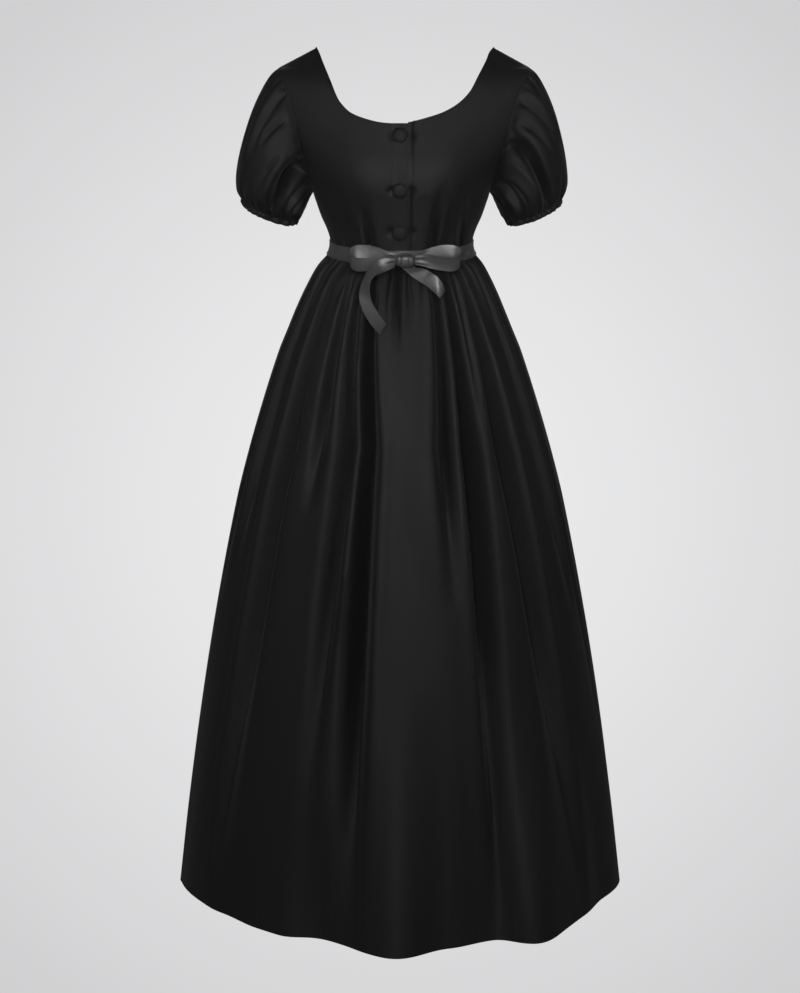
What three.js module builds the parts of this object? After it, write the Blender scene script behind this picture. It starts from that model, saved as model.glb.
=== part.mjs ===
// A floor-length empire-waist dress in black satin-backed crepe, as it stands when worn with nobody in it:
// scoop neck, three covered buttons on a placket, gathered puff sleeves, gathered skirt, ribbon tied in a bow.
// Millimetres, +Z up. The front faces -Y and the wearer's left is +X. The origin is midway between the two
// shoulder seams at half their height, where the wearer's shoulders carry the dress.
import * as THREE from 'three';
import { mergeGeometries, mergeVertices } from 'three/addons/utils/BufferGeometryUtils.js';

// Driving sizes
const CLOTH = 1.2; // thickness of the dress cloth
const RIBBON = 1; // thickness of the ribbon
const SEAM_GAP = 0.35; // space between two pieces at a seam
const LAID_GAP = 0.35; // space under a piece that lies on another
const NECK_POINT_Z = 18; // inner end of the shoulder seam, the highest point of the dress
const NECK_POINT_X = 141; // half the distance between the two neck points
const SHOULDER_TIP_Z = -12.5; // outer end of the shoulder seam
const SHOULDER_TIP_X = 199;
const UNDERARM_Z = -213; // lowest point of the armhole
const UNDERARM_X = 143;
const NECK_FRONT_Z = -95.5; // lowest point of the front neckline
const NECK_BACK_Z = -126; // lowest point of the back neckline
const BUST_Z = -176;
const WAIST_Z = -302; // seam between bodice and skirt, at the sides
const WAIST_DIP = 6; // how much lower that seam is at the centre front
const DIP_REACH = 40; // height above and below the seam over which the dip dies out
const KNEE_Z = -600; // middle height of the tables of skirt folds
const HEM_Z = -1402;
const ARMHOLE_FRONT = 52; // how far the armhole reaches forward of the shoulder seam
const ARMHOLE_BACK = 56;
const ARMHOLE_TURN = 38; // degrees of the body section that the armhole takes away
const BUST_RISE = 15; // fullness of each cup
const BUST_APART = 76; // each cup's middle from the centre line
const BUST_WIDTH = 44; // how far sideways, and up and down, that fullness reaches
const BUST_HEIGHT = 45;
const PLACKET_WIDTH = 25;
const BUTTON_RADIUS = 12.4;
const BUTTON_RISE = 6.5;
const BUTTON_LIFT = 0.2; // length of the shank that shows between placket and button
const RIBBON_WIDTH = 22;
const BELT_SLACK = 2; // the ribbon's lower edge stands out as far as the skirt does this much lower down
const BOW_X = 8; // the bow is tied a little to the wearer's left of the middle
const KNOT_SIZE = [30, 22, 22]; // across, front to back and up
const KNOT_Z = -309;
const BELT_FRONT = 102.6; // depth of the belt's outer face at the centre front, at its lower edge
const KNOT_NESTLE = 1.6; // how far the knot's round back reaches in above that edge
const CUFF_WIDTH = 9;
const GATHERS = 24; // little folds round each sleeve head, and as many round each cuff
const HEAD_GATHER = 4.5; // depth of the little folds round the sleeve head
const CUFF_GATHER = 3.5; // depth of those round the cuff
const EASE = 0.2; // extra space under the gathered sleeve head and under the ribbon

const table = (names, rows) => rows.map((row) => Object.fromEntries(names.map((name, i) => [name, row[i]])));

// Sections of the bodice. side is the half width to the side seam, armhole or shoulder seam. front and back are
// the depths at the centre. lean is how far the section's middle lies towards the wearer's left.
const BODICE_SECTIONS = table(['z', 'lean', 'side', 'front', 'back'], [
  [18, 8, 141, 4, 4],
  [8, 7.8, 160, 20, 18],
  [-12.5, 7, 199, 43, 38],
  [-33, 6.4, 191, 60, 54],
  [-52, 6, 182, 70, 63],
  [-76, 5.4, 174.5, 80, 71],
  [-100, 4.8, 168.5, 88, 78],
  [-132, 4, 161.5, 96, 84],
  [-156, 3.4, 155, 102, 87],
  [-177, 2.9, 149, 105, 89],
  [-201, 2.5, 144.5, 106, 90],
  [-213, 2.4, 143, 105, 89.5],
  [-232, 2.4, 137, 103, 88.5],
  [-252, 2.4, 130, 101, 86],
  [-271, 2.4, 121.5, 98.5, 83],
  [-288, 2.4, 116.2, 96.5, 81],
  [-302, 2.4, 115.6, 96, 80],
]);

// Front neckline: half width at each height, and how far its middle lies towards the wearer's left.
const NECKLINE = table(['z', 'half', 'off'], [
  [18, 141, 8],
  [11, 137, 5.6],
  [-1, 131.5, 5.6],
  [-24.4, 119.7, 4],
  [-48.7, 107, 2.4],
  [-66.5, 91, -0.8],
  [-78.5, 73.4, -5.6],
  [-84.3, 58.4, -8],
  [-90.2, 37.8, -9.6],
  [-93.8, 20, -9.6],
  [-95.5, 0, -9.6],
]);

// Rows of the bodice grid, from the waist up: height at the side, armhole or shoulder seam, and at the middle
// or neckline. Those along the armhole are spaced by equal angles round it, so that the sleeve's points meet them.
const ROW_COLUMNS = ['outer', 'inner'];
const ROWS_BELOW_ARMHOLE = table(ROW_COLUMNS, [
  [-302, -302],
  [-290.5, -290.5],
  [-274, -274],
  [-255, -255],
  [-234, -234],
]);
const INNER_BESIDE_ARMHOLE = [-214, -196, -179, -162, -145, -122, -95.5, -92.5, -85, -72, -52, -32, -14];
const NECK_ROW = 11; // the row whose inner end is the lowest point of the neckline
const ROWS_ABOVE_ARMHOLE = table(ROW_COLUMNS, [
  [2, 1],
  [16, 16],
]);

// Gathers of the bodice above the waist: place across at the waist and at bust height, where each ends,
// its depth and its half width.
const BODICE_GATHER_COLUMNS = ['waist', 'bust', 'ends', 'deep', 'wide'];
const FRONT_GATHERS = table(BODICE_GATHER_COLUMNS, [
  [-88, -97, -240, 2.5, 8],
  [-46, -72, -222, 5, 9],
  [47, 66, -186, 4.5, 9],
  [72, 84, -220, 2.5, 7],
  [92, 106, -168, 6, 9],
]);
const BACK_GATHERS = table(BODICE_GATHER_COLUMNS, [
  [-56, -74, -212, 4.5, 9],
  [56, 74, -212, 4.5, 9],
]);

// Sections of the skirt. point is how pointed the section is towards the side seams, 1 for an ellipse.
const SKIRT_SECTIONS = table(['z', 'lean', 'side', 'front', 'back', 'point'], [
  [-302, 2.4, 115.6, 96, 80, 1],
  [-311, 2.4, 118.5, 99, 84, 1],
  [-327, 1.8, 132, 110, 96, 1],
  [-340, 1.2, 140.6, 117, 104, 1],
  [-373, 0.6, 157.5, 130, 118, 1],
  [-406, 0, 172, 141, 130, 1.02],
  [-439, 0, 185.5, 151, 140, 1.04],
  [-472, 0, 199, 161, 150, 1.06],
  [-556, 0, 226.5, 182, 172, 1.1],
  [-641, 0, 251.5, 200, 190, 1.14],
  [-726, 0, 273, 217, 206, 1.18],
  [-899, 0, 307.5, 244, 233, 1.26],
  [-1075, 0, 337, 267, 257, 1.34],
  [-1255, 0, 362.5, 288, 280, 1.44],
  [-1402, 0, 380.5, 304, 298, 1.5],
]);
const FRONT_SKIRT_ROWS = [WAIST_Z, -314, -332, -356, -395, -450, -530, -640, -780, -930, -1080, -1220, -1330, HEM_Z];
const BACK_SKIRT_ROWS = [WAIST_Z, -316, -340, -385, -455, -570, -730, -920, -1120, -1290, HEM_Z];

// Folds of the skirt: degrees round from the panel's middle at the waist, knee and hem, the height at which each
// has run out, and its depth and half width at the waist, knee and hem.
const FOLD_COLUMNS = ['waist', 'knee', 'hem', 'ends', 'deepWaist', 'deepKnee', 'deepHem', 'wideWaist', 'wideKnee',
  'wideHem'];
const FRONT_FOLDS = table(FOLD_COLUMNS, [
  [-76, -77, -81, -900, 2.5, 6, 2, 7, 15, 22],
  [-67, -68, -74, -520, 3, 8, 2, 6.5, 15, 20],
  [-59, -60, -66, -430, 3, 9, 2, 6.5, 15, 20],
  [-51, -50.5, -57, -1300, 3.5, 15, 9, 6.5, 22, 34],
  [-42.5, -42, -47, -400, 3, 10, 2, 6.5, 15, 20],
  [-35.5, -33, -37, -450, 3.5, 10, 2, 6.5, 14, 20],
  [-28, -19.5, -26, -850, 3.5, 13, 4, 6.5, 20, 26],
  [-18, -11.5, -13, -1380, 3.5, 24, 9, 6.5, 22, 30],
  [-10, -6, -6, -410, 3, 8, 2, 6, 14, 20],
  [-2, -1, -1, -450, 3.5, 13, 2, 6.5, 16, 20],
  [6.5, 4.5, 4.5, -430, 3, 10, 2, 6.5, 14, 20],
  [14.5, 10, 10, -390, 3, 8, 2, 6.5, 14, 20],
  [22.5, 16, 16, -660, 3.5, 12, 3, 6.5, 18, 24],
  [30.5, 24.5, 24, -1402, 3.5, 22, 12, 6.5, 22, 34],
  [38, 34, 36, -600, 3.5, 10, 3, 6.5, 16, 22],
  [46, 48, 58, -1300, 3.5, 18, 10, 6.5, 24, 34],
  [55, 58, 67, -440, 3.5, 9, 2, 6.5, 16, 22],
  [64, 66, 74, -500, 3, 8, 2, 6.5, 16, 22],
  [74, 74, 81, -1150, 2.5, 7, 2, 7, 16, 24],
]);
const BACK_FOLDS = table(FOLD_COLUMNS, [
  [-76, -76, -80, -950, 2.5, 6, 2, 7, 16, 24],
  [-66, -66, -70, -480, 3, 8, 2, 6.5, 16, 22],
  [-56, -53, -58, -1320, 3.5, 17, 12, 6.5, 24, 36],
  [-46, -43, -45, -430, 3, 9, 2, 6.5, 16, 22],
  [-37, -32, -34, -700, 3.5, 12, 4, 6.5, 18, 26],
  [-28, -21, -21, -1402, 3.5, 22, 14, 6.5, 24, 36],
  [-18, -13, -13, -420, 3.5, 9, 2, 6.5, 16, 22],
  [-9, -6, -6, -560, 3.5, 12, 3, 6.5, 17, 24],
  [0, 1, 1, -460, 3.5, 13, 2, 6.5, 16, 22],
  [9, 8, 8, -900, 3.5, 14, 5, 6.5, 19, 28],
  [19, 17, 16, -430, 3.5, 9, 2, 6.5, 16, 22],
  [29, 28, 27, -1402, 3.5, 22, 14, 6.5, 24, 36],
  [39, 38, 38, -520, 3.5, 10, 2, 6.5, 16, 22],
  [49, 51, 54, -1280, 3.5, 17, 11, 6.5, 24, 36],
  [60, 62, 66, -430, 3, 8, 2, 6.5, 16, 22],
  [72, 73, 78, -1000, 2.5, 6, 2, 7, 16, 24],
]);

// Broad waves of the hem: degrees round, half width in degrees, height at which each starts, and its reach forward.
const WAVE_COLUMNS = ['at', 'half', 'starts', 'out'];
const FRONT_WAVES = table(WAVE_COLUMNS, [
  [-48, 9, -1180, -7],
  [-20, 12, -1120, -24],
  [-1, 13, -820, 29],
  [22, 10, -1000, -9],
  [39, 16, -960, 56],
  [54, 11, -1050, 20],
]);
const BACK_WAVES = table(WAVE_COLUMNS, [
  [-52, 12, -1050, -12],
  [-36, 13, -900, 34],
  [-19, 12, -1000, -16],
  [3, 15, -820, 30],
  [26, 12, -1050, -16],
  [43, 13, -950, 32],
]);

// Sections of the wearer's left sleeve, from armhole to cuff: outer and inner end, and reach forward and back.
const SLEEVE_SECTIONS = table(['t', 'outerX', 'outerZ', 'innerX', 'innerZ', 'front', 'back'], [
  [0, SHOULDER_TIP_X, SHOULDER_TIP_Z, UNDERARM_X, UNDERARM_Z, ARMHOLE_FRONT, ARMHOLE_BACK],
  [0.1, 213, -24, 145.5, -217, 60, 63],
  [0.22, 227, -46, 148, -221, 66, 68],
  [0.36, 241, -76, 150, -226, 70, 71],
  [0.5, 252, -108, 152.5, -231, 72, 72],
  [0.65, 262, -146, 155, -237, 71, 71],
  [0.78, 268, -180, 158, -243, 67, 67],
  [0.88, 269, -202, 160.5, -248.5, 61, 61],
  [0.95, 266.5, -213, 162.5, -253, 55, 55],
  [1, 261, -219, 165, -256.5, 50, 50],
]);
const SLEEVE_ROWS = [0, 0.07, 0.2, 0.42, 0.68, 0.88, 1];
const CUFF_SAG = 8; // how much lower the front of the cuff hangs than its back

// Long folds of each sleeve: degrees round it at the armhole and at the cuff, 0 outside and 90 in front, the
// stretch of the sleeve that each takes, its depth and its half width.
const SLEEVE_FOLD_COLUMNS = ['top', 'cuff', 'from', 'to', 'deep', 'wide'];
const SLEEVE_FOLDS = {
  right: table(SLEEVE_FOLD_COLUMNS, [
    [50, 40, 0.04, 0.7, 7, 14],
    [112, 82, 0.05, 0.97, 14, 17],
    [146, 122, 0.1, 0.95, 8, 12],
    [-60, -50, 0.05, 0.9, 9, 15],
    [-115, -95, 0.08, 0.95, 9, 15],
  ]),
  left: table(SLEEVE_FOLD_COLUMNS, [
    [58, 30, 0.03, 0.55, 8, 13],
    [92, 62, 0.05, 0.97, 14, 16],
    [142, 112, 0.1, 0.95, 9, 13],
    [-55, -48, 0.05, 0.9, 9, 15],
    [-118, -98, 0.08, 0.95, 9, 15],
  ]),
};

const BUTTONS = table(['name', 'z'], [
  ['button_top', -114],
  ['button_middle', -199],
  ['button_bottom', -266],
]);

// Pieces of the bow, from the knot outwards: middle of the ribbon, measured across from the bow's middle and
// forward from the front of the belt, the direction of its width, and the share of the width that lies open.
const STRIP_COLUMNS = ['x', 'forward', 'z', 'wx', 'wy', 'wz', 'open'];
const LOOP = table(STRIP_COLUMNS, [
  [-15.8, 1.8, -306.5, 0, 0, 1, 0.7],
  [-26, 0.8, -305, 0, 0, 1, 0.85],
  [-42, -1.7, -301, 0, 0.1, 1, 1],
  [-60, -5.2, -297.5, 0, 0.1, 1, 1],
  [-76, -6.2, -298, -0.1, 0.1, 1, 1],
  [-85.5, -2.7, -302, -0.15, 0.1, 1, 1],
  [-88, 3.8, -307.5, -0.15, 0, 1, 1],
  [-84, 10.8, -312.5, -0.08, -0.1, 1, 1],
  [-74, 14.8, -315, 0, -0.1, 1, 1],
  [-58, 15.8, -313.5, 0, -0.1, 1, 1],
  [-40, 14.3, -310, 0, -0.05, 1, 1],
  [-26, 12.3, -308, 0, 0, 1, 0.85],
  [-15.8, 10.8, -307.5, 0, 0, 1, 0.7],
]);
const TAIL_RIGHT = table(STRIP_COLUMNS, [
  [-15.8, 16.8, -311, 0, 0, 1, 0.7],
  [-27, 20.3, -313.5, 0, 0.15, 1, 0.9],
  [-43, 23.8, -318.5, -0.2, 0.45, 0.9, 1],
  [-55, 25.8, -329, -0.4, 1, 0.5, 1],
  [-63, 29.8, -347, -0.7, 0.8, 0, 1],
  [-63, 36.8, -367, -0.9, 0.6, -0.15, 1],
  [-55, 44.3, -386, -0.95, 0.35, -0.3, 1],
  [-44, 49.8, -402, -0.85, 0.35, -0.5, 1],
  [-33, 53.8, -415, -0.7, 0.5, -0.6, 1],
]);
const TAIL_LEFT = table(STRIP_COLUMNS, [
  [4, 11.8, -321, 1, 0, 0.1, 0.75],
  [17, 17.8, -326, 0.85, 0, 0.5, 0.95],
  [30, 21.8, -332.5, 0.6, 0, 0.8, 1],
  [44, 25.8, -341.5, 0.5, 0, 0.87, 1],
  [55, 28.8, -352, 0.35, 0.35, 0.85, 1],
  [60.5, 28.3, -363.5, 0.2, 0.75, 0.6, 1],
]);

const radians = THREE.MathUtils.degToRad;
const clamp = THREE.MathUtils.clamp;
const mix = THREE.MathUtils.lerp;
const smoothstep = THREE.MathUtils.smoothstep;

// Value of one column of a table at a place along its first column, on a smooth curve through the rows.
function read(rows, key, place, along = 'z') {
  const falling = rows[1][along] < rows[0][along];
  let i = 0;
  while (i < rows.length - 2 && (falling ? place < rows[i + 1][along] : place > rows[i + 1][along])) i += 1;
  const slope = (j) => {
    const before = rows[Math.max(j - 1, 0)];
    const after = rows[Math.min(j + 1, rows.length - 1)];
    return (after[key] - before[key]) / (after[along] - before[along]);
  };
  const length = rows[i + 1][along] - rows[i][along];
  const s = clamp((place - rows[i][along]) / length, 0, 1);
  return (
    (2 * s ** 3 - 3 * s ** 2 + 1) * rows[i][key] +
    (s ** 3 - 2 * s ** 2 + s) * slope(i) * length +
    (3 * s ** 2 - 2 * s ** 3) * rows[i + 1][key] +
    (s ** 3 - s ** 2) * slope(i + 1) * length
  );
}

// A sharp valley with round shoulders: 1 on its line, 0 from its half width on.
const valley = (distance, half) => (1 - clamp(Math.abs(distance) / half, 0, 1)) ** 2;
// A soft wave of the same reach.
const wave = (distance, half) => 0.5 + 0.5 * Math.cos(Math.PI * clamp(distance / half, -1, 1));

const ARMHOLE_MIDDLE = (SHOULDER_TIP_Z + UNDERARM_Z) / 2;
const ARMHOLE_HALF = (SHOULDER_TIP_Z - UNDERARM_Z) / 2;
// Opening of the armhole at a height, 0 at its top and bottom and 1 at its middle.
const armholeBulge = (z) => Math.sqrt(Math.max(0, 1 - ((z - ARMHOLE_MIDDLE) / ARMHOLE_HALF) ** 2));
const armholeTurn = (z) => radians(90 - ARMHOLE_TURN * armholeBulge(z));

// Sag of the waist seam at a place across the front, from -1 to 1, and at a height near the seam.
function waistDip(across, z, face) {
  if (face < 0) return 0;
  return WAIST_DIP * (1 - across ** 2) * (1 - smoothstep(Math.abs(z - WAIST_Z), 0, DIP_REACH));
}

function bodiceSide(z) {
  if (z <= SHOULDER_TIP_Z) return read(BODICE_SECTIONS, 'side', z);
  return mix(SHOULDER_TIP_X, NECK_POINT_X, (z - SHOULDER_TIP_Z) / (NECK_POINT_Z - SHOULDER_TIP_Z));
}

// Where a place x of the bodice lies between its two side seams, from -1 to 1.
function acrossOf(x, z) {
  const share = ((x - read(BODICE_SECTIONS, 'lean', z)) * Math.sin(armholeTurn(z))) / bodiceSide(z);
  return Math.asin(clamp(share, -1, 1)) / armholeTurn(z);
}

const bodiceGatherLine = (row, z) => mix(row.waist, row.bust, (z - WAIST_Z) / (BUST_Z - WAIST_Z));

function bodiceGathers(rows, x, z) {
  let depth = 0;
  for (const row of rows) {
    const along = clamp((z - WAIST_Z) / (row.ends - WAIST_Z), 0, 1);
    depth += row.deep * (1 - along) * valley(x - bodiceGatherLine(row, z), row.wide * (1 + along));
  }
  return depth;
}

function bustFullness(across, x, z) {
  const sideways = (Math.abs(x) - BUST_APART) / BUST_WIDTH;
  const upwards = (z - BUST_Z) / BUST_HEIGHT;
  return BUST_RISE * Math.exp(-0.5 * (sideways ** 2 + upwards ** 2)) * (1 - across ** 4);
}

// A point of the bodice. face is 1 in front and -1 behind.
function bodicePoint(across, z, face) {
  const turn = armholeTurn(z);
  const seam = armholeBulge(z) * (face > 0 ? ARMHOLE_FRONT : ARMHOLE_BACK);
  const centre = read(BODICE_SECTIONS, face > 0 ? 'front' : 'back', z);
  const angle = across * turn;
  const x = (bodiceSide(z) * Math.sin(angle)) / Math.sin(turn);
  let depth = centre - ((centre - seam) * (1 - Math.cos(angle))) / (1 - Math.cos(turn));
  if (face > 0) depth += bustFullness(across, x, z);
  depth -= bodiceGathers(face > 0 ? FRONT_GATHERS : BACK_GATHERS, x, z);
  depth = Math.max(depth, SEAM_GAP / 2);
  const fromWaist = z === WAIST_Z ? SEAM_GAP / 2 : 0;
  return new THREE.Vector3(
    read(BODICE_SECTIONS, 'lean', z) + x,
    -face * depth,
    z + fromWaist - waistDip(across, z, face),
  );
}

// One of the three values that a fold has at waist, knee and hem, at a height.
function foldAt(row, names, z) {
  if (z > KNEE_Z) return mix(row[names[0]], row[names[1]], (WAIST_Z - z) / (WAIST_Z - KNEE_Z));
  return mix(row[names[1]], row[names[2]], (KNEE_Z - z) / (KNEE_Z - HEM_Z));
}
const foldLine = (row, z) => foldAt(row, ['waist', 'knee', 'hem'], z);

function foldDepth(row, degrees, z, girth) {
  const fade = clamp((z - row.ends) / Math.max(90, (WAIST_Z - row.ends) * 0.45), 0, 1);
  if (fade === 0) return 0;
  const distance = radians(degrees - foldLine(row, z)) * girth;
  const wide = foldAt(row, ['wideWaist', 'wideKnee', 'wideHem'], z);
  return foldAt(row, ['deepWaist', 'deepKnee', 'deepHem'], z) * fade * valley(distance, wide);
}

// A point of the skirt, by degrees round from the middle of the front or back panel.
function skirtPoint(degrees, z, face) {
  const angle = radians(degrees);
  const side = read(SKIRT_SECTIONS, 'side', z);
  const centre = read(SKIRT_SECTIONS, face > 0 ? 'front' : 'back', z);
  const point = read(SKIRT_SECTIONS, 'point', z);
  let inward = 0;
  for (const row of face > 0 ? FRONT_FOLDS : BACK_FOLDS) {
    inward += foldDepth(row, degrees, z, (side + centre) / 2);
  }
  let depth = centre * Math.max(0, Math.cos(angle)) ** point - inward * Math.cos(angle);
  for (const row of face > 0 ? FRONT_WAVES : BACK_WAVES) {
    depth += row.out * wave(degrees - row.at, row.half) * (1 - smoothstep(z, HEM_Z, row.starts));
  }
  depth = Math.max(depth, SEAM_GAP / 2);
  const fromWaist = z === WAIST_Z ? SEAM_GAP / 2 : 0;
  return new THREE.Vector3(
    read(SKIRT_SECTIONS, 'lean', z) + (side - inward) * Math.sin(angle),
    -face * depth,
    z - fromWaist - waistDip(degrees / 90, z, face),
  );
}

const SHARPEST_CREASE = 0.65; // cosine of the sharpest crease at which a wall keeps its full thickness

// Direction in which a grid's surface faces at one of its points, a little longer where it is sharply creased,
// so that the wall keeps its thickness there.
function surfaceNormal(grid, i, j, round) {
  const columns = grid[0].length;
  const at = (row, column) => grid[row][round ? (column + columns) % columns : column];
  const faces = [];
  for (const [di, dj] of [[0, 0], [-1, 0], [0, -1], [-1, -1]]) {
    const top = i + di;
    const left = j + dj;
    if (top < 0 || top + 1 >= grid.length || (!round && (left < 0 || left + 1 >= columns))) continue;
    const down = at(top + 1, left + 1).clone().sub(at(top, left));
    const across = at(top + 1, left).clone().sub(at(top, left + 1));
    const face = across.cross(down);
    if (face.lengthSq() > 0) faces.push(face.normalize());
  }
  const normal = faces.reduce((sum, face) => sum.add(face), new THREE.Vector3()).normalize();
  const crease = Math.min(...faces.map((face) => face.dot(normal)));
  return normal.multiplyScalar(1 / Math.max(crease, SHARPEST_CREASE));
}

// The same grid moved in by a thickness. outward gives roughly which way is out at a point.
// settle may move a new point back, to keep it on its own side of a seam.
function movedIn(grid, thickness, outward, { round = false, settle = () => {} } = {}) {
  const normals = grid.map((row, i) => row.map((_, j) => surfaceNormal(grid, i, j, round)));
  let facing = 0;
  grid.forEach((row, i) => row.forEach((point, j) => {
    facing += Math.sign(outward(point).dot(normals[i][j]));
  }));
  return grid.map((row, i) => row.map((point, j) => {
    const moved = point.clone().addScaledVector(normals[i][j], -Math.sign(facing) * thickness);
    settle(moved, point, i, j);
    return moved;
  }));
}

// A closed wall between two like grids. openUpTo leaves the first column's edge open below that row, where a
// mirrored wall joins it.
function wallGeometry(outer, inner, { round = false, openUpTo = 0 } = {}) {
  const rows = outer.length;
  const columns = outer[0].length;
  const index = [];
  const outerAt = (i, j) => i * columns + (round ? j % columns : j);
  const innerAt = (i, j) => rows * columns + outerAt(i, j);
  const quad = (a, b, c, d) => index.push(a, b, c, a, c, d);
  for (let i = 0; i + 1 < rows; i += 1) {
    for (let j = 0; j < (round ? columns : columns - 1); j += 1) {
      quad(outerAt(i, j), outerAt(i, j + 1), outerAt(i + 1, j + 1), outerAt(i + 1, j));
      quad(innerAt(i, j), innerAt(i + 1, j), innerAt(i + 1, j + 1), innerAt(i, j + 1));
    }
  }
  for (let j = 0; j < (round ? columns : columns - 1); j += 1) {
    quad(outerAt(0, j), innerAt(0, j), innerAt(0, j + 1), outerAt(0, j + 1));
    quad(outerAt(rows - 1, j), outerAt(rows - 1, j + 1), innerAt(rows - 1, j + 1), innerAt(rows - 1, j));
  }
  for (let i = 0; i + 1 < rows && !round; i += 1) {
    const last = columns - 1;
    if (i >= openUpTo) quad(outerAt(i, 0), outerAt(i + 1, 0), innerAt(i + 1, 0), innerAt(i, 0));
    quad(outerAt(i, last), innerAt(i, last), innerAt(i + 1, last), outerAt(i + 1, last));
  }
  const points = [...outer.flat(), ...inner.flat()];
  let volume = 0;
  for (let k = 0; k < index.length; k += 3) {
    const [a, b, c] = [points[index[k]], points[index[k + 1]], points[index[k + 2]]];
    volume += a.dot(b.clone().cross(c));
  }
  const geometry = new THREE.BufferGeometry().setFromPoints(points);
  geometry.setIndex(volume > 0 ? index : index.reverse());
  return geometry;
}

const outOfBody = (point) => new THREE.Vector3(point.x, point.y, 0);

// Bodice rows with the heights of both ends, the sleeve seam's by equal angles.
const bodiceRows = (neckline) => {
  const beside = INNER_BESIDE_ARMHOLE.map((inner, i) => ({
    outer: ARMHOLE_MIDDLE - ARMHOLE_HALF * Math.cos((Math.PI * i) / (INNER_BESIDE_ARMHOLE.length - 1)),
    inner,
  }));
  const rows = [...ROWS_BELOW_ARMHOLE, ...beside, ...ROWS_ABOVE_ARMHOLE];
  const stretch = (NECK_POINT_Z - neckline) / (NECK_POINT_Z - NECK_FRONT_Z);
  const lowered = (z) => NECK_POINT_Z - (NECK_POINT_Z - z) * stretch;
  return rows.map(({ outer, inner }, i) => {
    if (i >= NECK_ROW) return { outer, inner: lowered(inner), necklineZ: inner };
    const waistToNeck = (inner - WAIST_Z) / (NECK_FRONT_Z - WAIST_Z);
    return { outer, inner: mix(WAIST_Z, neckline, waistToNeck) };
  });
};

const EDGE_STRIP = 0.04; // width of a panel's first strip of faces, as a share of its own

// Grid of the half of a bodice panel on one side of the line where it is split, side 1 for the wearer's left.
// edgeX is that line, and stripX, where given, a second column at a fixed distance from the middle.
function bodiceHalf(side, face, { neckline, edgeX, stripX }) {
  const gathers = (face > 0 ? FRONT_GATHERS : BACK_GATHERS).filter((row) => Math.sign(row.waist) === side);
  gathers.sort((a, b) => Math.abs(a.waist) - Math.abs(b.waist));
  // On each gather and between it and the next, as shares of the half width.
  const columnsAt = (z) => {
    const lines = [0, ...gathers.map((row) => bodiceGatherLine(row, z) / (side * bodiceSide(z))), 1];
    const between = lines.slice(1).flatMap((line, i) => [0.3, 0.7, 1].map((share) => mix(lines[i], line, share)));
    return between.slice(0, -1);
  };
  const waistColumns = columnsAt(WAIST_Z);
  const bustColumns = columnsAt(BUST_Z);
  return bodiceRows(neckline).map((row, i) => {
    const atNeck = i > NECK_ROW;
    const middle = face > 0 && atNeck
      ? read(NECKLINE, 'off', row.necklineZ)
      : read(BODICE_SECTIONS, 'lean', row.inner);
    const edge = atNeck ? middle + side * read(NECKLINE, 'half', row.necklineZ) : edgeX(row.inner);
    const start = acrossOf(edge, row.inner);
    const strip = stripX && !atNeck ? acrossOf(stripX, row.inner) : mix(start, side, EDGE_STRIP);
    const up = clamp((row.outer - WAIST_Z) / (BUST_Z - WAIST_Z), 0, 1);
    const places = waistColumns.map((share, k) => {
      const turned = Math.asin(mix(share, bustColumns[k], up)) / (Math.PI / 2);
      return mix(strip, side, turned);
    });
    const acrosses = [start, ...(stripX ? [strip] : []), ...places, side];
    return acrosses.map((across) => {
      const share = (across - start) / (side - start);
      return bodicePoint(across, mix(row.inner, row.outer, share), face);
    });
  });
}

// Keeps the inner face of a panel on its own side of the side seams and of the waist seam.
const settleSides = (face) => (moved, point, i) => {
  moved.y = face > 0 ? Math.min(moved.y, -SEAM_GAP / 2) : Math.max(moved.y, SEAM_GAP / 2);
  if (i === 0) moved.z = point.z;
};

const FRONT_SPLIT = PLACKET_WIDTH / 2;

function frontHalf(side) {
  const edge = FRONT_SPLIT + (side * SEAM_GAP) / 2;
  const stripX = side < 0 ? -FRONT_SPLIT : FRONT_SPLIT + 8;
  return bodiceHalf(side, 1, { neckline: NECK_FRONT_Z, edgeX: () => edge, stripX });
}

function bodiceFront(side) {
  const grid = frontHalf(side);
  const settle = (moved, point, i, j) => {
    settleSides(1)(moved, point, i);
    if (j === 0 && i <= NECK_ROW) moved.x = point.x;
  };
  return wallGeometry(grid, movedIn(grid, CLOTH, outOfBody, { settle }));
}

// The back is cut in one piece: both halves share the points of the centre line below the neckline.
function bodiceBack() {
  const edgeX = (z) => read(BODICE_SECTIONS, 'lean', z);
  const settle = (moved, point, i, j) => {
    settleSides(-1)(moved, point, i);
    if (j === 0 && i <= NECK_ROW) moved.set(point.x, point.y - CLOTH, point.z);
  };
  const halves = [-1, 1].map((side) => {
    const grid = bodiceHalf(side, -1, { neckline: NECK_BACK_Z, edgeX });
    return wallGeometry(grid, movedIn(grid, CLOTH, outOfBody, { settle }), { openUpTo: NECK_ROW });
  });
  return mergeVertices(mergeGeometries(halves));
}

// The strip that covers the edge of the wearer's right front, on that panel's own points.
function placket() {
  const panel = frontHalf(-1).slice(1, NECK_ROW + 1).map((row) => row.slice(0, 2));
  const raised = (rise) => movedIn(panel, -rise, outOfBody).map((row, i) => row.map((point, j) =>
    new THREE.Vector3(panel[i][j].x, point.y, panel[i][j].z)));
  return wallGeometry(raised(LAID_GAP + CLOTH), raised(LAID_GAP));
}

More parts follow.
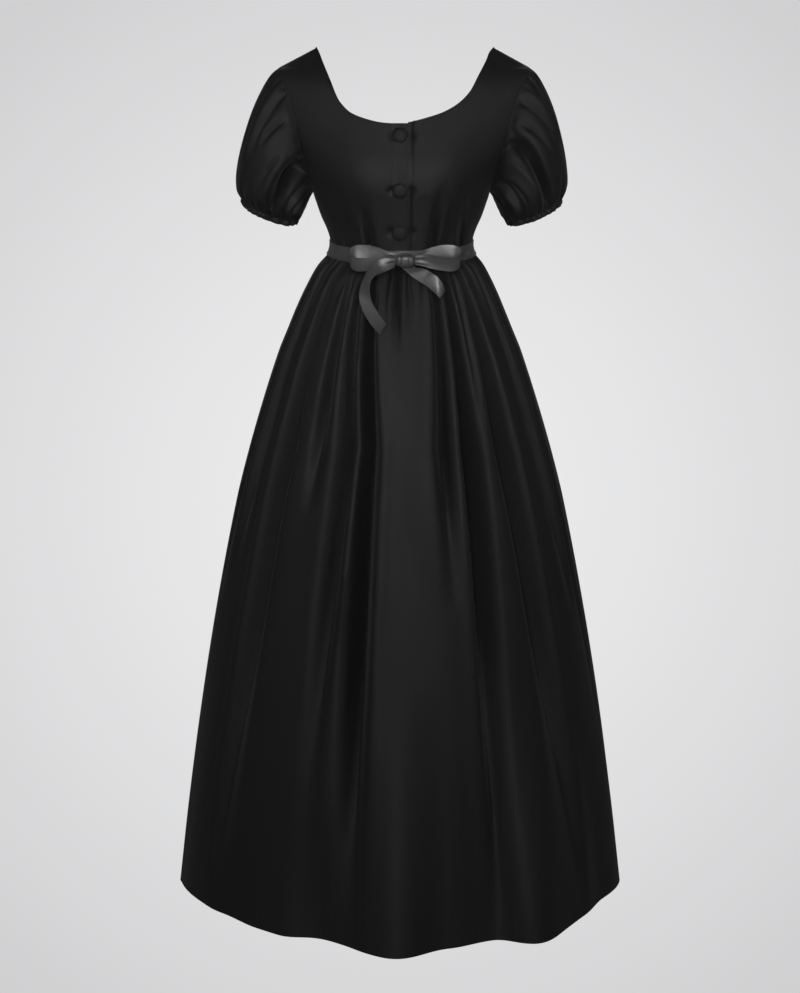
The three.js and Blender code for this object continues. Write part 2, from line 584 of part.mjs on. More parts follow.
// Covered button: a domed disc on a short shank, turned to the direction in which the placket faces.
function button(z) {
  const profile = [[0, 0], [0.55, 0], [0.86, 0.12], [1, 0.34], [0.94, 0.62], [0.72, 0.86], [0.4, 0.97], [0, 1]];
  const points = profile.map(([r, h]) => new THREE.Vector2(r * BUTTON_RADIUS, h * BUTTON_RISE));
  const geometry = new THREE.LatheGeometry(points, 16);
  const frontAt = (x, up) => bodicePoint(acrossOf(x, z + up * BUTTON_RADIUS), z + up * BUTTON_RADIUS, 1);
  const [below, above] = [frontAt(0, -1), frontAt(0, 1)];
  const out = new THREE.Vector3(0, below.z - above.z, above.y - below.y).normalize();
  const middle = above.clone().add(below).multiplyScalar(0.5);
  const under = [-0.5, 0, 0.5].flatMap((share) =>
    [-1, -0.5, 0, 0.5, 1].map((up) => frontAt(share * PLACKET_WIDTH, up).sub(middle).dot(out)));
  middle.addScaledVector(out, Math.max(...under) + LAID_GAP + CLOTH + BUTTON_LIFT);
  geometry.applyQuaternion(new THREE.Quaternion().setFromUnitVectors(new THREE.Vector3(0, 1, 0), out));
  geometry.translate(0, middle.y, middle.z);
  return geometry;
}

const FAR_APART = 8.5; // degrees between two folds at the hem past which there is one more column between them

// Places round a skirt panel at which its grid has columns: on each fold line and between it and the next, more
// of them where the folds lie far apart at the hem.
function skirtColumns(folds) {
  const edge = (degrees) => ({ waist: degrees, knee: degrees, hem: degrees });
  const lines = [edge(-90), ...folds, edge(90)];
  const columns = [];
  for (let i = 0; i + 1 < lines.length; i += 1) {
    const farApart = lines[i + 1].hem - lines[i].hem > FAR_APART;
    for (const share of farApart ? [0, 0.22, 0.5, 0.78] : [0, 0.3, 0.7]) {
      columns.push((z) => mix(foldLine(lines[i], z), foldLine(lines[i + 1], z), share));
    }
  }
  columns.push(() => 90);
  return columns;
}

function skirtPanel(face) {
  const columns = skirtColumns(face > 0 ? FRONT_FOLDS : BACK_FOLDS);
  const rows = face > 0 ? FRONT_SKIRT_ROWS : BACK_SKIRT_ROWS;
  const grid = rows.map((z) => columns.map((column) => skirtPoint(column(z), z, face)));
  const settle = (moved, point, i) => {
    settleSides(face)(moved, point, i);
    if (i === rows.length - 1) moved.z = point.z;
  };
  return wallGeometry(grid, movedIn(grid, CLOTH, outOfBody, { settle }));
}

// How far a sleeve's long folds and little gathers take its surface in at one of its points.
function sleeveFolds(degrees, t, side, radius) {
  let inward = 0;
  for (const row of SLEEVE_FOLDS[side > 0 ? 'left' : 'right']) {
    const along = (t - row.from) / (row.to - row.from);
    if (along <= 0 || along >= 1) continue;
    const apart = THREE.MathUtils.euclideanModulo(degrees - mix(row.top, row.cuff, along) + 180, 360) - 180;
    inward += row.deep * Math.sin(Math.PI * along ** 0.8) * valley(radians(apart) * radius, row.wide);
  }
  const uneven = 0.75 + 0.25 * Math.sin(radians(5 * degrees) + 1);
  const gather = 0.5 - 0.5 * Math.cos(radians(GATHERS * degrees));
  const atHead = smoothstep(t, 0, 0.05) * (1 - smoothstep(t, 0.12, 0.45));
  const atCuff = smoothstep(t, 0.72, 0.97);
  return inward + gather * uneven * (HEAD_GATHER * atHead + CUFF_GATHER * atCuff);
}

// A point of a sleeve by degrees round it and by share of its length. side is 1 for the wearer's left.
function sleevePoint(degrees, t, side) {
  const angle = radians(degrees);
  const value = (key) => read(SLEEVE_SECTIONS, key, t, 't');
  const outer = new THREE.Vector3(value('outerX'), 0, value('outerZ'));
  const inner = new THREE.Vector3(value('innerX'), 0, value('innerZ'));
  const radial = outer.clone().sub(inner).multiplyScalar(0.5 * Math.cos(angle));
  radial.y = -value(Math.sin(angle) > 0 ? 'front' : 'back') * Math.sin(angle);
  const radius = radial.length();
  radial.setLength(radius - sleeveFolds(degrees, t, side, radius));
  const point = outer.add(inner).multiplyScalar(0.5).add(radial);

  const armholeZ = ARMHOLE_MIDDLE + ARMHOLE_HALF * Math.cos(angle);
  const straightX = mix(UNDERARM_X, SHOULDER_TIP_X, (armholeZ - UNDERARM_Z) / (SHOULDER_TIP_Z - UNDERARM_Z));
  point.x += (bodiceSide(armholeZ) - straightX) * (1 - smoothstep(t, 0, 0.35));
  point.z -= CUFF_SAG * Math.max(0, Math.sin(angle)) * smoothstep(t, 0.7, 1);
  point.x = read(BODICE_SECTIONS, 'lean', Math.max(point.z, UNDERARM_Z)) + side * point.x;
  return point;
}

const SLEEVE_COLUMNS = Array.from({ length: GATHERS * 2 }, (_, i) => (180 * i) / GATHERS);
// Directions in which a sleeve leaves the armhole and in which its cuff points.
const outOfArmhole = (side) => new THREE.Vector3(side * 0.963, 0, -0.269);
const outOfCuff = (side) => new THREE.Vector3(side * 0.36, 0, -0.933);

const ringMiddle = (ring) =>
  ring.reduce((sum, point) => sum.add(point), new THREE.Vector3()).divideScalar(ring.length);

function ringWall(rings, thickness) {
  const middles = rings.map(ringMiddle);
  const nearest = (point) => middles.reduce((a, b) => (point.distanceTo(a) < point.distanceTo(b) ? a : b));
  const outward = (point) => point.clone().sub(nearest(point));
  return wallGeometry(rings, movedIn(rings, thickness, outward, { round: true }), { round: true });
}

function sleeve(side) {
  const rings = SLEEVE_ROWS.map((t) => SLEEVE_COLUMNS.map((degrees) => sleevePoint(degrees, t, side)));
  const start = rings[0];
  for (let j = 1; j < start.length; j += 2) {
    start[j] = start[j - 1].clone().add(start[(j + 1) % start.length]).multiplyScalar(0.5);
  }
  for (const point of start) point.addScaledVector(outOfArmhole(side), SEAM_GAP + EASE);
  return ringWall(rings, CLOTH);
}

// Elastic casing: a narrow gathered band below the sleeve's last row.
function cuff(side) {
  const rings = [[SEAM_GAP, 0], [CUFF_WIDTH, 0.8]].map(([below, bulge]) => {
    const ring = SLEEVE_COLUMNS.map((degrees) => sleevePoint(degrees, 1, side));
    const middle = ringMiddle(ring);
    return ring.map((point) => {
      const out = point.clone().sub(middle).normalize();
      return point.addScaledVector(outOfCuff(side), below).addScaledVector(out, bulge);
    });
  });
  return ringWall(rings, CLOTH);
}

// Ribbon round the waist, lying on the fullest points of bodice and skirt.
function ribbonBelt() {
  const steps = 60;
  const ring = (z, out) => Array.from({ length: steps }, (_, i) => {
    const angle = (2 * Math.PI * i) / steps;
    const face = Math.cos(angle) >= 0 ? 1 : -1;
    const sections = z > WAIST_Z ? BODICE_SECTIONS : SKIRT_SECTIONS;
    const fullAt = z > WAIST_Z ? z : z - BELT_SLACK;
    const side = read(sections, 'side', fullAt) + out;
    const depth = read(sections, face > 0 ? 'front' : 'back', fullAt) + out;
    const across = Math.asin(Math.abs(Math.sin(angle))) / (Math.PI / 2);
    const lean = read(sections, 'lean', z);
    const dip = waistDip(across, WAIST_Z, face);
    return new THREE.Vector3(lean + side * Math.sin(angle), -depth * Math.cos(angle), z - dip);
  });
  const walls = [LAID_GAP + EASE + RIBBON, LAID_GAP + EASE].map((out) =>
    [WAIST_Z + 1 + RIBBON_WIDTH / 2, WAIST_Z + 1 - RIBBON_WIDTH / 2].map((z) => ring(z, out)));
  return wallGeometry(walls[0], walls[1], { round: true });
}

// A length of ribbon along a table of its middle line. side -1 mirrors it.
function strip(rows, side, steps) {
  const middle = new THREE.CatmullRomCurve3(
    rows.map((row) => new THREE.Vector3(BOW_X + side * row.x, -BELT_FRONT - row.forward, row.z)));
  const halfWidth = new THREE.CatmullRomCurve3(rows.map((row) =>
    new THREE.Vector3(side * row.wx, row.wy, row.wz).setLength((RIBBON_WIDTH / 2) * row.open)));
  const edges = (offset) => Array.from({ length: steps + 1 }, (_, i) => {
    const half = halfWidth.getPoint(i / steps);
    const normal = middle.getTangent(i / steps).cross(half).normalize();
    const centre = middle.getPoint(i / steps).addScaledVector(normal, offset);
    return [centre.clone().sub(half), centre.clone().add(half)];
  });
  return wallGeometry(edges(RIBBON / 2), edges(-RIBBON / 2));
}

// The knot: a soft pillow of wrapped ribbon in front of the belt.
function knot() {
  const geometry = new THREE.SphereGeometry(1, 14, 10);
  const position = geometry.getAttribute('position');
  const rounded = (value) => Math.sign(value) * Math.abs(value) ** 0.7;
  for (let i = 0; i < position.count; i += 1) {
    const [x, y, z] = [position.getX(i), position.getY(i), position.getZ(i)].map(rounded);
    position.setXYZ(i, (x * KNOT_SIZE[0]) / 2, (-z * KNOT_SIZE[1]) / 2, (y * KNOT_SIZE[2]) / 2);
  }
  geometry.translate(BOW_X, -BELT_FRONT + KNOT_NESTLE - LAID_GAP - KNOT_SIZE[1] / 2, KNOT_Z);
  return geometry;
}

const MATERIALS = {
  dressCloth: { color: '#101011', roughness: 0.62, metalness: 0 },
  buttonCloth: { color: '#0e0e0f', roughness: 0.7, metalness: 0 },
  ribbonSatin: { color: '#34363a', roughness: 0.38, metalness: 0 },
};

const dress = new THREE.Group();
dress.name = 'maxi_dress';

function add(name, geometry, material) {
  geometry.deleteAttribute('normal');
  geometry.deleteAttribute('uv');
  const closed = mergeVertices(geometry);
  closed.computeVertexNormals();
  const mesh = new THREE.Mesh(closed, new THREE.MeshStandardMaterial(MATERIALS[material]));
  mesh.name = name;
  dress.add(mesh);
}

add('bodice_front_right', bodiceFront(-1), 'dressCloth');
add('bodice_front_left', bodiceFront(1), 'dressCloth');
add('bodice_back', bodiceBack(), 'dressCloth');
add('button_placket', placket(), 'dressCloth');
for (const row of BUTTONS) add(row.name, button(row.z), 'buttonCloth');
for (const [name, side] of [['right', -1], ['left', 1]]) {
  add(`sleeve_${name}`, sleeve(side), 'dressCloth');
  add(`cuff_${name}`, cuff(side), 'dressCloth');
}
add('skirt_front', skirtPanel(1), 'dressCloth');
add('skirt_back', skirtPanel(-1), 'dressCloth');
add('ribbon_belt', ribbonBelt(), 'ribbonSatin');
add('bow_knot', knot(), 'ribbonSatin');
add('bow_loop_right', strip(LOOP, 1, 22), 'ribbonSatin');
add('bow_loop_left', strip(LOOP, -1, 22), 'ribbonSatin');
add('bow_tail_right', strip(TAIL_RIGHT, 1, 18), 'ribbonSatin');
add('bow_tail_left', strip(TAIL_LEFT, 1, 14), 'ribbonSatin');

export default dress;
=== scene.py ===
# %% [markdown]
# # A floor-length dress in black crepe
# The dress has a scoop neck, three covered buttons on a placket, gathered puff sleeves, a ribbon tied in
# a bow under the bust and a long gathered skirt. It keeps the hollow form of a dress that is worn. The
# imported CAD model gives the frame, in metres. Its walls are coarse, so each piece of cloth is laid again
# here as a fine thin shell on the same form, and gets the small creases, the sewing and the weave that
# cloth has.

# %% Loading the fixed frame
import math

import bpy
import numpy as np
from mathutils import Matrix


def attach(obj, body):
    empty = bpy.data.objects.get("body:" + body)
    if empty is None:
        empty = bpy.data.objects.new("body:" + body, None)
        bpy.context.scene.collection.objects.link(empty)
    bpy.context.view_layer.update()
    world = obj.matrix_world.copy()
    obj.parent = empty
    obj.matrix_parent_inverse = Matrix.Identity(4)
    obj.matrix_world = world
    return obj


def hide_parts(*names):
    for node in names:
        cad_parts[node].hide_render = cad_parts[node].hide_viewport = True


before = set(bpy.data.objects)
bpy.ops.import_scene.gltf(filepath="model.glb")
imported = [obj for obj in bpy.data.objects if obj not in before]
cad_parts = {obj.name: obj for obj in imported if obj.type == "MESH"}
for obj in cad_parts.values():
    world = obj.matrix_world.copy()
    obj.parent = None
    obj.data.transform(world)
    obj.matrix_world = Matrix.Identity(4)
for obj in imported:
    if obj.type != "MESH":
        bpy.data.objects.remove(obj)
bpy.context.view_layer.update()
bpy.ops.object.select_all(action="DESELECT")

# %% [markdown]
# ## Reading a table
# A dressmaker cuts a dress from a few measured sections. Here they are rows of a table in millimetres,
# and a smooth curve runs through the rows. A plain straight line between rows would leave kinks that
# catch the light.

# %% Curves through tables
MM = 0.001


def smooth(places, values, at):
    """Value at each place on a smooth curve through the rows of a table."""
    if places[0] > places[-1]:
        places, values = places[::-1], values[::-1]
    rows = np.arange(len(places))
    before, after = np.maximum(rows - 1, 0), np.minimum(rows + 1, len(places) - 1)
    slopes = (values[after] - values[before]) / (places[after] - places[before])
    i = np.clip(np.searchsorted(places, at, side="right") - 1, 0, len(places) - 2)
    length = places[i + 1] - places[i]
    s = np.clip((at - places[i]) / length, 0, 1)
    return (
        (2 * s**3 - 3 * s**2 + 1) * values[i]
        + (s**3 - 2 * s**2 + s) * slopes[i] * length
        + (3 * s**2 - 2 * s**3) * values[i + 1]
        + (s**3 - s**2) * slopes[i + 1] * length
    )


def mix(a, b, share):
    return a + (b - a) * share


def ramp(value, low, high):
    """0 below low, 1 above high and a soft rise between them."""
    s = np.clip((value - low) / (high - low), 0, 1)
    return s * s * (3 - 2 * s)


TROUGH_ROUND = 0.14  # how round the bottom of a trough is, as a share of its half width
TROUGH_SOFT = 0.3  # how much of a trough is a wide soft bell, and not a crease
ROLL_AWAY, ROLL_HALF = 1.2, 0.5  # place and half width of the rolls beside it, as shares of its half width


def trough(distance, half):
    """A trough with a rounded bottom: 1 on its line and 0 from its half width on."""
    away = np.sqrt((distance / half) ** 2 + TROUGH_ROUND**2)
    sharp = (np.clip(1 - away, 0, 1) / (1 - TROUGH_ROUND)) ** 2
    bell = np.clip(1 - (distance / half) ** 2, 0, 1) ** 2
    return mix(sharp, bell, TROUGH_SOFT)


def roll(distance, half):
    """The soft rolls that a trough pushes up along both of its sides."""
    return np.exp(-(((np.abs(distance) - ROLL_AWAY * half) / (ROLL_HALF * half)) ** 2))


# %% [markdown]
# ## Measures of the dress
# These are the sizes that the CAD source states, repeated because a scene reads nothing but the packed
# frame. They are in millimetres, from the middle between the shoulder seams, with the front towards minus
# Y.

# %% Sizes and sections
CLOTH, RIBBON, SEAM_GAP, LAID_GAP = 1.2, 1.0, 0.35, 0.35
NECK_POINT_X, NECK_POINT_Z = 141, 18
SHOULDER_TIP_X, SHOULDER_TIP_Z = 199, -12.5
UNDERARM_X, UNDERARM_Z = 143, -213
NECK_FRONT_Z, NECK_BACK_Z, BUST_Z = -95.5, -126, -176
WAIST_Z, WAIST_DIP, DIP_REACH = -302, 6, 40
KNEE_Z, HEM_Z = -600, -1402
ARMHOLE_FRONT, ARMHOLE_BACK, ARMHOLE_TURN = 52, 56, 38
BUST_RISE, BUST_APART, BUST_WIDE, BUST_HIGH = 15, 76, 44, 45
PLACKET_WIDTH, BUTTON_RADIUS, BUTTON_LIFT = 25, 12.4, 0.2
RIBBON_WIDTH, BELT_SLACK = 22, 2
BOW_X, KNOT_SIZE, KNOT_Z, BELT_FRONT, KNOT_NESTLE = 8, (30, 22, 22), -309, 102.6, 1.6
CUFF_WIDTH, CUFF_SAG = 9, 8
WELD = 0.02  # points of a piece's grids that lie this near to each other are joined

# Height, lean of the middle towards the wearer's left, half width, depth in front and depth behind.
BODICE_SECTIONS = np.array([
    [18, 8, 141, 4, 4], [8, 7.8, 160, 20, 18], [-12.5, 7, 199, 43, 38], [-33, 6.4, 191, 60, 54],
    [-52, 6, 182, 70, 63], [-76, 5.4, 174.5, 80, 71], [-100, 4.8, 168.5, 88, 78],
    [-132, 4, 161.5, 96, 84], [-156, 3.4, 155, 102, 87], [-177, 2.9, 149, 105, 89],
    [-201, 2.5, 144.5, 106, 90], [-213, 2.4, 143, 105, 89.5], [-232, 2.4, 137, 103, 88.5],
    [-252, 2.4, 130, 101, 86], [-271, 2.4, 121.5, 98.5, 83], [-288, 2.4, 116.2, 96.5, 81],
    [-302, 2.4, 115.6, 96, 80],
])
# Height on the neckline, half width there and how far its middle lies towards the wearer's left.
NECKLINE = np.array([
    [18, 141, 8], [11, 137, 5.6], [-1, 131.5, 5.6], [-24.4, 119.7, 4], [-48.7, 107, 2.4],
    [-66.5, 91, -0.8], [-78.5, 73.4, -5.6], [-84.3, 58.4, -8], [-90.2, 37.8, -9.6], [-93.8, 20, -9.6],
    [-95.5, 0, -9.6],
])
# Where the rows of the bodice's coarse grid lie, as in CAD: heights at the side seam, armhole or shoulder,
# and at the middle or neckline.
ROWS_BELOW_ARMHOLE = [[-302, -302], [-290.5, -290.5], [-274, -274], [-255, -255], [-234, -234]]
INNER_BESIDE_ARMHOLE = [-214, -196, -179, -162, -145, -122, -95.5, -92.5, -85, -72, -52, -32, -14]
ROWS_ABOVE_ARMHOLE = [[2, 1], [16, 16]]
NECK_ROW = 11
# Height, lean, half width, depth in front, depth behind and how pointed the section is at the side seams.
SKIRT_SECTIONS = np.array([
    [-302, 2.4, 115.6, 96, 80, 1], [-311, 2.4, 118.5, 99, 84, 1], [-327, 1.8, 132, 110, 96, 1],
    [-340, 1.2, 140.6, 117, 104, 1], [-373, 0.6, 157.5, 130, 118, 1], [-406, 0, 172, 141, 130, 1.02],
    [-439, 0, 185.5, 151, 140, 1.04], [-472, 0, 199, 161, 150, 1.06], [-556, 0, 226.5, 182, 172, 1.1],
    [-641, 0, 251.5, 200, 190, 1.14], [-726, 0, 273, 217, 206, 1.18], [-899, 0, 307.5, 244, 233, 1.26],
    [-1075, 0, 337, 267, 257, 1.34], [-1255, 0, 362.5, 288, 280, 1.44], [-1402, 0, 380.5, 304, 298, 1.5],
])
BODICE_PLACES, SKIRT_PLACES = BODICE_SECTIONS[:, 0], SKIRT_SECTIONS[:, 0]
LEAN, SIDE, FRONT, BACK, POINT = 1, 2, 3, 4, 5


def bodice(column, z):
    return smooth(BODICE_PLACES, BODICE_SECTIONS[:, column], z)


def skirt(column, z):
    return smooth(SKIRT_PLACES, SKIRT_SECTIONS[:, column], z)


def neck(column, z):
    return smooth(NECKLINE[:, 0], NECKLINE[:, column], z)


# %% [markdown]
# ## Folds and gathers
# The long folds hang where the photographed dress has them, and each has its own length, depth and
# spacing. They are listed one by one, because a simulation would put them elsewhere. Between them lie
# the little gathers of the seams. There are too many of those to place one by one, so a seeded draw
# spaces them unevenly.

# %% Tables of folds
# Place across at the waist and at bust height, height at which it ends, depth and half width.
FRONT_GATHERS = [
    [-88, -97, -240, 2.5, 8], [-46, -72, -222, 5, 9], [47, 66, -186, 4.5, 9], [72, 84, -220, 2.5, 7],
    [92, 106, -168, 6, 9],
]
BACK_GATHERS = [[-56, -74, -212, 4.5, 9], [56, 74, -212, 4.5, 9]]
# Degrees round at waist, knee and hem, height at which it ends, depth and half width at waist, knee and
# hem, and how much steeper its side towards the wearer's left is.
FRONT_FOLDS = [
    [-76, -77, -81, -900, 2.5, 6, 2, 7, 15, 22, 0], [-67, -68, -74, -820, 3, 12.5, 5, 6.5, 20, 26, -0.3],
    [-59, -60, -66, -430, 3, 9, 2, 6.5, 15, 20, -0.1],
    [-51, -50.5, -57, -1402, 4, 20, 15, 6.5, 26, 36, -0.35],
    [-42.5, -42, -47, -400, 3, 10, 2, 6.5, 15, 20, 0],
    [-35.5, -33, -37, -720, 3.5, 12.5, 4, 6.5, 18, 24, -0.2],
    [-28, -20.5, -27, -1250, 4, 16, 12, 6.5, 22, 28, 0],
    [-18, -11.5, -12.5, -1402, 6, 27, 26, 8, 25, 31, 0.25], [-10, -6, -6, -410, 3, 8, 2, 6, 14, 20, 0],
    [-2, -1, -1, -450, 3.5, 13, 2, 6.5, 16, 20, 0.15], [6.5, 4.5, 4.5, -430, 3, 10, 2, 6.5, 14, 20, 0],
    [14.5, 10, 10, -390, 3, 8, 2, 6.5, 14, 20, -0.1], [22.5, 17, 17, -860, 3.5, 14, 5, 6.5, 19, 26, 0],
    [30.5, 27.5, 26, -1402, 5, 24, 21, 6.5, 23, 32, -0.2],
    [38, 34, 36, -600, 3.5, 10, 3, 6.5, 16, 22, 0.1], [46, 46, 55, -1402, 4.5, 23, 17, 6.5, 28, 38, 0.35],
    [55, 58, 67, -440, 3.5, 9, 2, 6.5, 16, 22, 0], [64, 66, 74, -900, 3, 12.5, 6, 6.5, 20, 26, 0.3],
    [74, 74, 81, -1150, 2.5, 7, 2, 7, 16, 24, 0],
]
BACK_FOLDS = [
    [-76, -76, -80, -950, 2.5, 6, 2, 7, 16, 24, 0], [-66, -66, -70, -480, 3, 8, 2, 6.5, 16, 22, 0.1],
    [-56, -53, -58, -1320, 3.5, 17, 12, 6.5, 24, 36, 0.2], [-46, -43, -45, -430, 3, 9, 2, 6.5, 16, 22, 0],
    [-37, -32, -34, -700, 3.5, 12, 4, 6.5, 18, 26, -0.1],
    [-28, -21, -21, -1402, 3.5, 22, 14, 6.5, 24, 36, 0.3],
    [-18, -13, -13, -420, 3.5, 9, 2, 6.5, 16, 22, 0], [-9, -6, -6, -560, 3.5, 12, 3, 6.5, 17, 24, 0.1],
    [0, 1, 1, -460, 3.5, 13, 2, 6.5, 16, 22, 0], [9, 8, 8, -900, 3.5, 14, 5, 6.5, 19, 28, -0.2],
    [19, 17, 16, -430, 3.5, 9, 2, 6.5, 16, 22, 0], [29, 28, 27, -1402, 3.5, 22, 14, 6.5, 24, 36, -0.3],
    [39, 38, 38, -520, 3.5, 10, 2, 6.5, 16, 22, 0], [49, 51, 54, -1280, 3.5, 17, 11, 6.5, 24, 36, -0.2],
    [60, 62, 66, -430, 3, 8, 2, 6.5, 16, 22, 0.1], [72, 73, 78, -1000, 2.5, 6, 2, 7, 16, 24, 0],
]
# Broad waves of the hem: degrees round, half width in degrees, height at which each starts and reach
# forward.
FRONT_WAVES = [
    [-48, 9, -1180, -7], [-20, 12, -1120, -24], [-1, 13, -820, 29], [22, 10, -1000, -9],
    [39, 16, -960, 56], [54, 11, -1050, 20],
]
BACK_WAVES = [
    [-52, 12, -1050, -12], [-36, 13, -900, 34], [-19, 12, -1000, -16], [3, 15, -820, 30],
    [26, 12, -1050, -16], [43, 13, -950, 32],
]

# %% [markdown]
# ## Cloth as a fine grid
# Cloth is a surface, so each piece starts as a grid of points and gets its wall from a Solidify modifier
# at the end, as a pattern piece gets its body from the yarn. A grid also gives flat places on the cloth
# for free, from its lengths across and along, and those make the piece's UV map. The weave then follows
# every fold.

# %% From grid to cloth


def grid_normals(points, closed=False):
    """Direction in which a grid's surface faces, at each of its points."""
    along = np.gradient(points, axis=0)
    if closed:
        across = (np.roll(points, -1, axis=1) - np.roll(points, 1, axis=1)) / 2
    else:
        across = np.gradient(points, axis=1)
    normals = np.cross(across, along)
    return normals / np.maximum(np.linalg.norm(normals, axis=2, keepdims=True), 1e-9)


def out_of_body(points):
    return points * (1, 1, 0)


def out_of_rings(points):
    return points - points.mean(axis=1, keepdims=True)


def facing_out(points):
    """The grid's normals, turned away from the body."""
    normals = grid_normals(points)
    return normals * np.sign((normals * out_of_body(points)).sum())


def flat_places(points, closed):
    """Places on the flat cloth, across from the middle column and down from the first row."""
    if closed:
        points = np.concatenate([points, points[:, :1]], axis=1)
    steps = np.linalg.norm(np.diff(points, axis=1), axis=2)
    across = np.concatenate([np.zeros((len(points), 1)), np.cumsum(steps, axis=1)], axis=1)
    across -= across[:, [points.shape[1] // 2]]
    middle = points[:, points.shape[1] // 2]
    down = np.concatenate([[0], np.cumsum(np.linalg.norm(np.diff(middle, axis=0), axis=1))])
    return np.stack([across, np.broadcast_to(-down[:, None], across.shape)], axis=2)


def add_cloth(name, grids, thickness, outward, closed, offset, angle):
    """An object made of one or more grids in millimetres, with a wall of that thickness behind its face."""
    places, faces, flats = [], [], []
    start = 0
    for points in grids:
        rows, columns = points.shape[:2]
        turned = (grid_normals(points, closed) * outward(points)).sum() < 0
        last = columns if closed else columns - 1
        i, j = np.meshgrid(np.arange(rows - 1), np.arange(last), indexing="ij")
        after = (j + 1) % columns
        corners = [(i, j), (i, after), (i + 1, after), (i + 1, j)]
        # The last column of a closed grid lies at the far end of the flat cloth, not back at its start.
        flat_corners = [(i, j), (i, j + 1), (i + 1, j + 1), (i + 1, j)]
        if turned:
            corners, flat_corners = corners[::-1], flat_corners[::-1]
        quads = np.stack([start + a * columns + b for a, b in corners], axis=2).reshape(-1, 4)
        flat = flat_places(points, closed)
        flats.append(np.stack([flat[a, b] for a, b in flat_corners], axis=2).reshape(-1, 2))
        faces.append(quads)
        places.append(points.reshape(-1, 3))
        start += rows * columns
    mesh = bpy.data.meshes.new(name)
    mesh.from_pydata((np.concatenate(places) * MM).tolist(), [], np.concatenate(faces).tolist())
    layer = mesh.uv_layers.new(name="flat_cloth")
    layer.data.foreach_set("uv", (np.concatenate(flats) * MM).ravel())
    piece = bpy.data.objects.new(name, mesh)
    bpy.context.scene.collection.objects.link(piece)
    bpy.ops.object.select_all(action="DESELECT")
    piece.select_set(True)
    bpy.context.view_layer.objects.active = piece
    bpy.ops.object.mode_set(mode="EDIT")
    bpy.ops.mesh.select_all(action="SELECT")
    bpy.ops.mesh.remove_doubles(threshold=WELD * MM)
    bpy.ops.object.mode_set(mode="OBJECT")
    wall = piece.modifiers.new("wall", "SOLIDIFY")
    wall.thickness, wall.offset = thickness * MM, offset
    bpy.ops.object.modifier_apply(modifier=wall.name)
    bpy.ops.object.shade_smooth_by_angle(angle=math.radians(angle))
    return piece


def cut_of(points, closed=False):
    """Widest width, longest length and area of a grid's cloth, laid flat, in metres."""
    if closed:
        points = np.concatenate([points, points[:, :1]], axis=1)
    across = np.diff(points, axis=1)
    along = np.diff(points, axis=0)
    width = np.linalg.norm(across, axis=2).sum(axis=1).max()
    length = np.linalg.norm(along, axis=2).sum(axis=0).max()
    area = np.linalg.norm(np.cross(across[:-1], along[:, :-1]), axis=2).sum()
    return width * MM, length * MM, area * MM**2


# %% [markdown]
# ## Crepe, covered buttons and satin ribbon
# Crepe is dull on its face because its twisted yarns lie every way, so it needs a pebbled bump, a rather
# high roughness and a little sheen. Its satin back lends it faint streaks along the length. The ribbon is
# satin: its long floats run along it, so its gloss is drawn out across them. A bitmap could show all this
# too, but a procedural pattern stays sharp at any size and needs no file.

# %% Materials
CREPE_DARK, CREPE_LIGHT = (0.0056, 0.0056, 0.0058), (0.0078, 0.0078, 0.008)
SATIN_DARK, SATIN_LIGHT = (0.045, 0.045, 0.047), (0.075, 0.075, 0.078)


def add_node(tree, kind, inputs, **settings):
    """A shader node. Each input is set to a value, or linked where the value is another node's output."""
    node = tree.nodes.new(f"ShaderNode{kind}")
    for key, value in settings.items():
        setattr(node, key, value)
    for key, value in inputs.items():
        if isinstance(value, bpy.types.NodeSocket):
            tree.links.new(value, node.inputs[key])
        else:
            node.inputs[key].default_value = value
    return node


def principled(name, base, roughness):
    """A material with a Principled shader and the piece's flat cloth as its map."""
    material = bpy.data.materials.new(name)
    material.use_nodes = True
    tree = material.node_tree
    shader = tree.nodes["Principled BSDF"]
    shader.inputs["Base Color"].default_value = (*base, 1)
    shader.inputs["Roughness"].default_value = roughness
    return material, tree, shader, add_node(tree, "UVMap", {}, uv_map="flat_cloth").outputs["UV"]


def pattern(tree, flat, across, along, detail):
    """Noise on the flat cloth, with that many cells per metre across and along it."""
    scaled = add_node(tree, "Mapping", {"Vector": flat, "Scale": (across, along, 1)}).outputs["Vector"]
    return add_node(tree, "TexNoise", {"Vector": scaled, "Scale": 1, "Detail": detail}).outputs["Fac"]


def between(tree, value, low, high):
    """A noise, which rarely leaves 0.3 to 0.7, carried over into another range."""
    ends = {"From Min": 0.3, "From Max": 0.7, "To Min": low, "To Max": high}
    return add_node(tree, "MapRange", {"Value": value, **ends}).outputs["Result"]


def shades(tree, value, dark, light):
    """A colour between two, by a value from 0 to 1."""
    inputs = {"Factor": value, "A": (*dark, 1), "B": (*light, 1)}
    return add_node(tree, "Mix", inputs, data_type="RGBA").outputs["Result"]


def maths(tree, operation, first, second):
    """One step of arithmetic on two values, each a number or another node's output."""
    return add_node(tree, "Math", {0: first, 1: second}, operation=operation).outputs[0]


def weave(tree, shader, low, low_rise, top, top_rise):
    """Two patterns of threads as fine bumps, one on the other. Each rise is in metres."""
    under = add_node(tree, "Bump", {"Height": low, "Distance": low_rise, "Strength": 1}).outputs["Normal"]
    inputs = {"Height": top, "Distance": top_rise, "Strength": 1, "Normal": under}
    tree.links.new(add_node(tree, "Bump", inputs).outputs["Normal"], shader.inputs["Normal"])


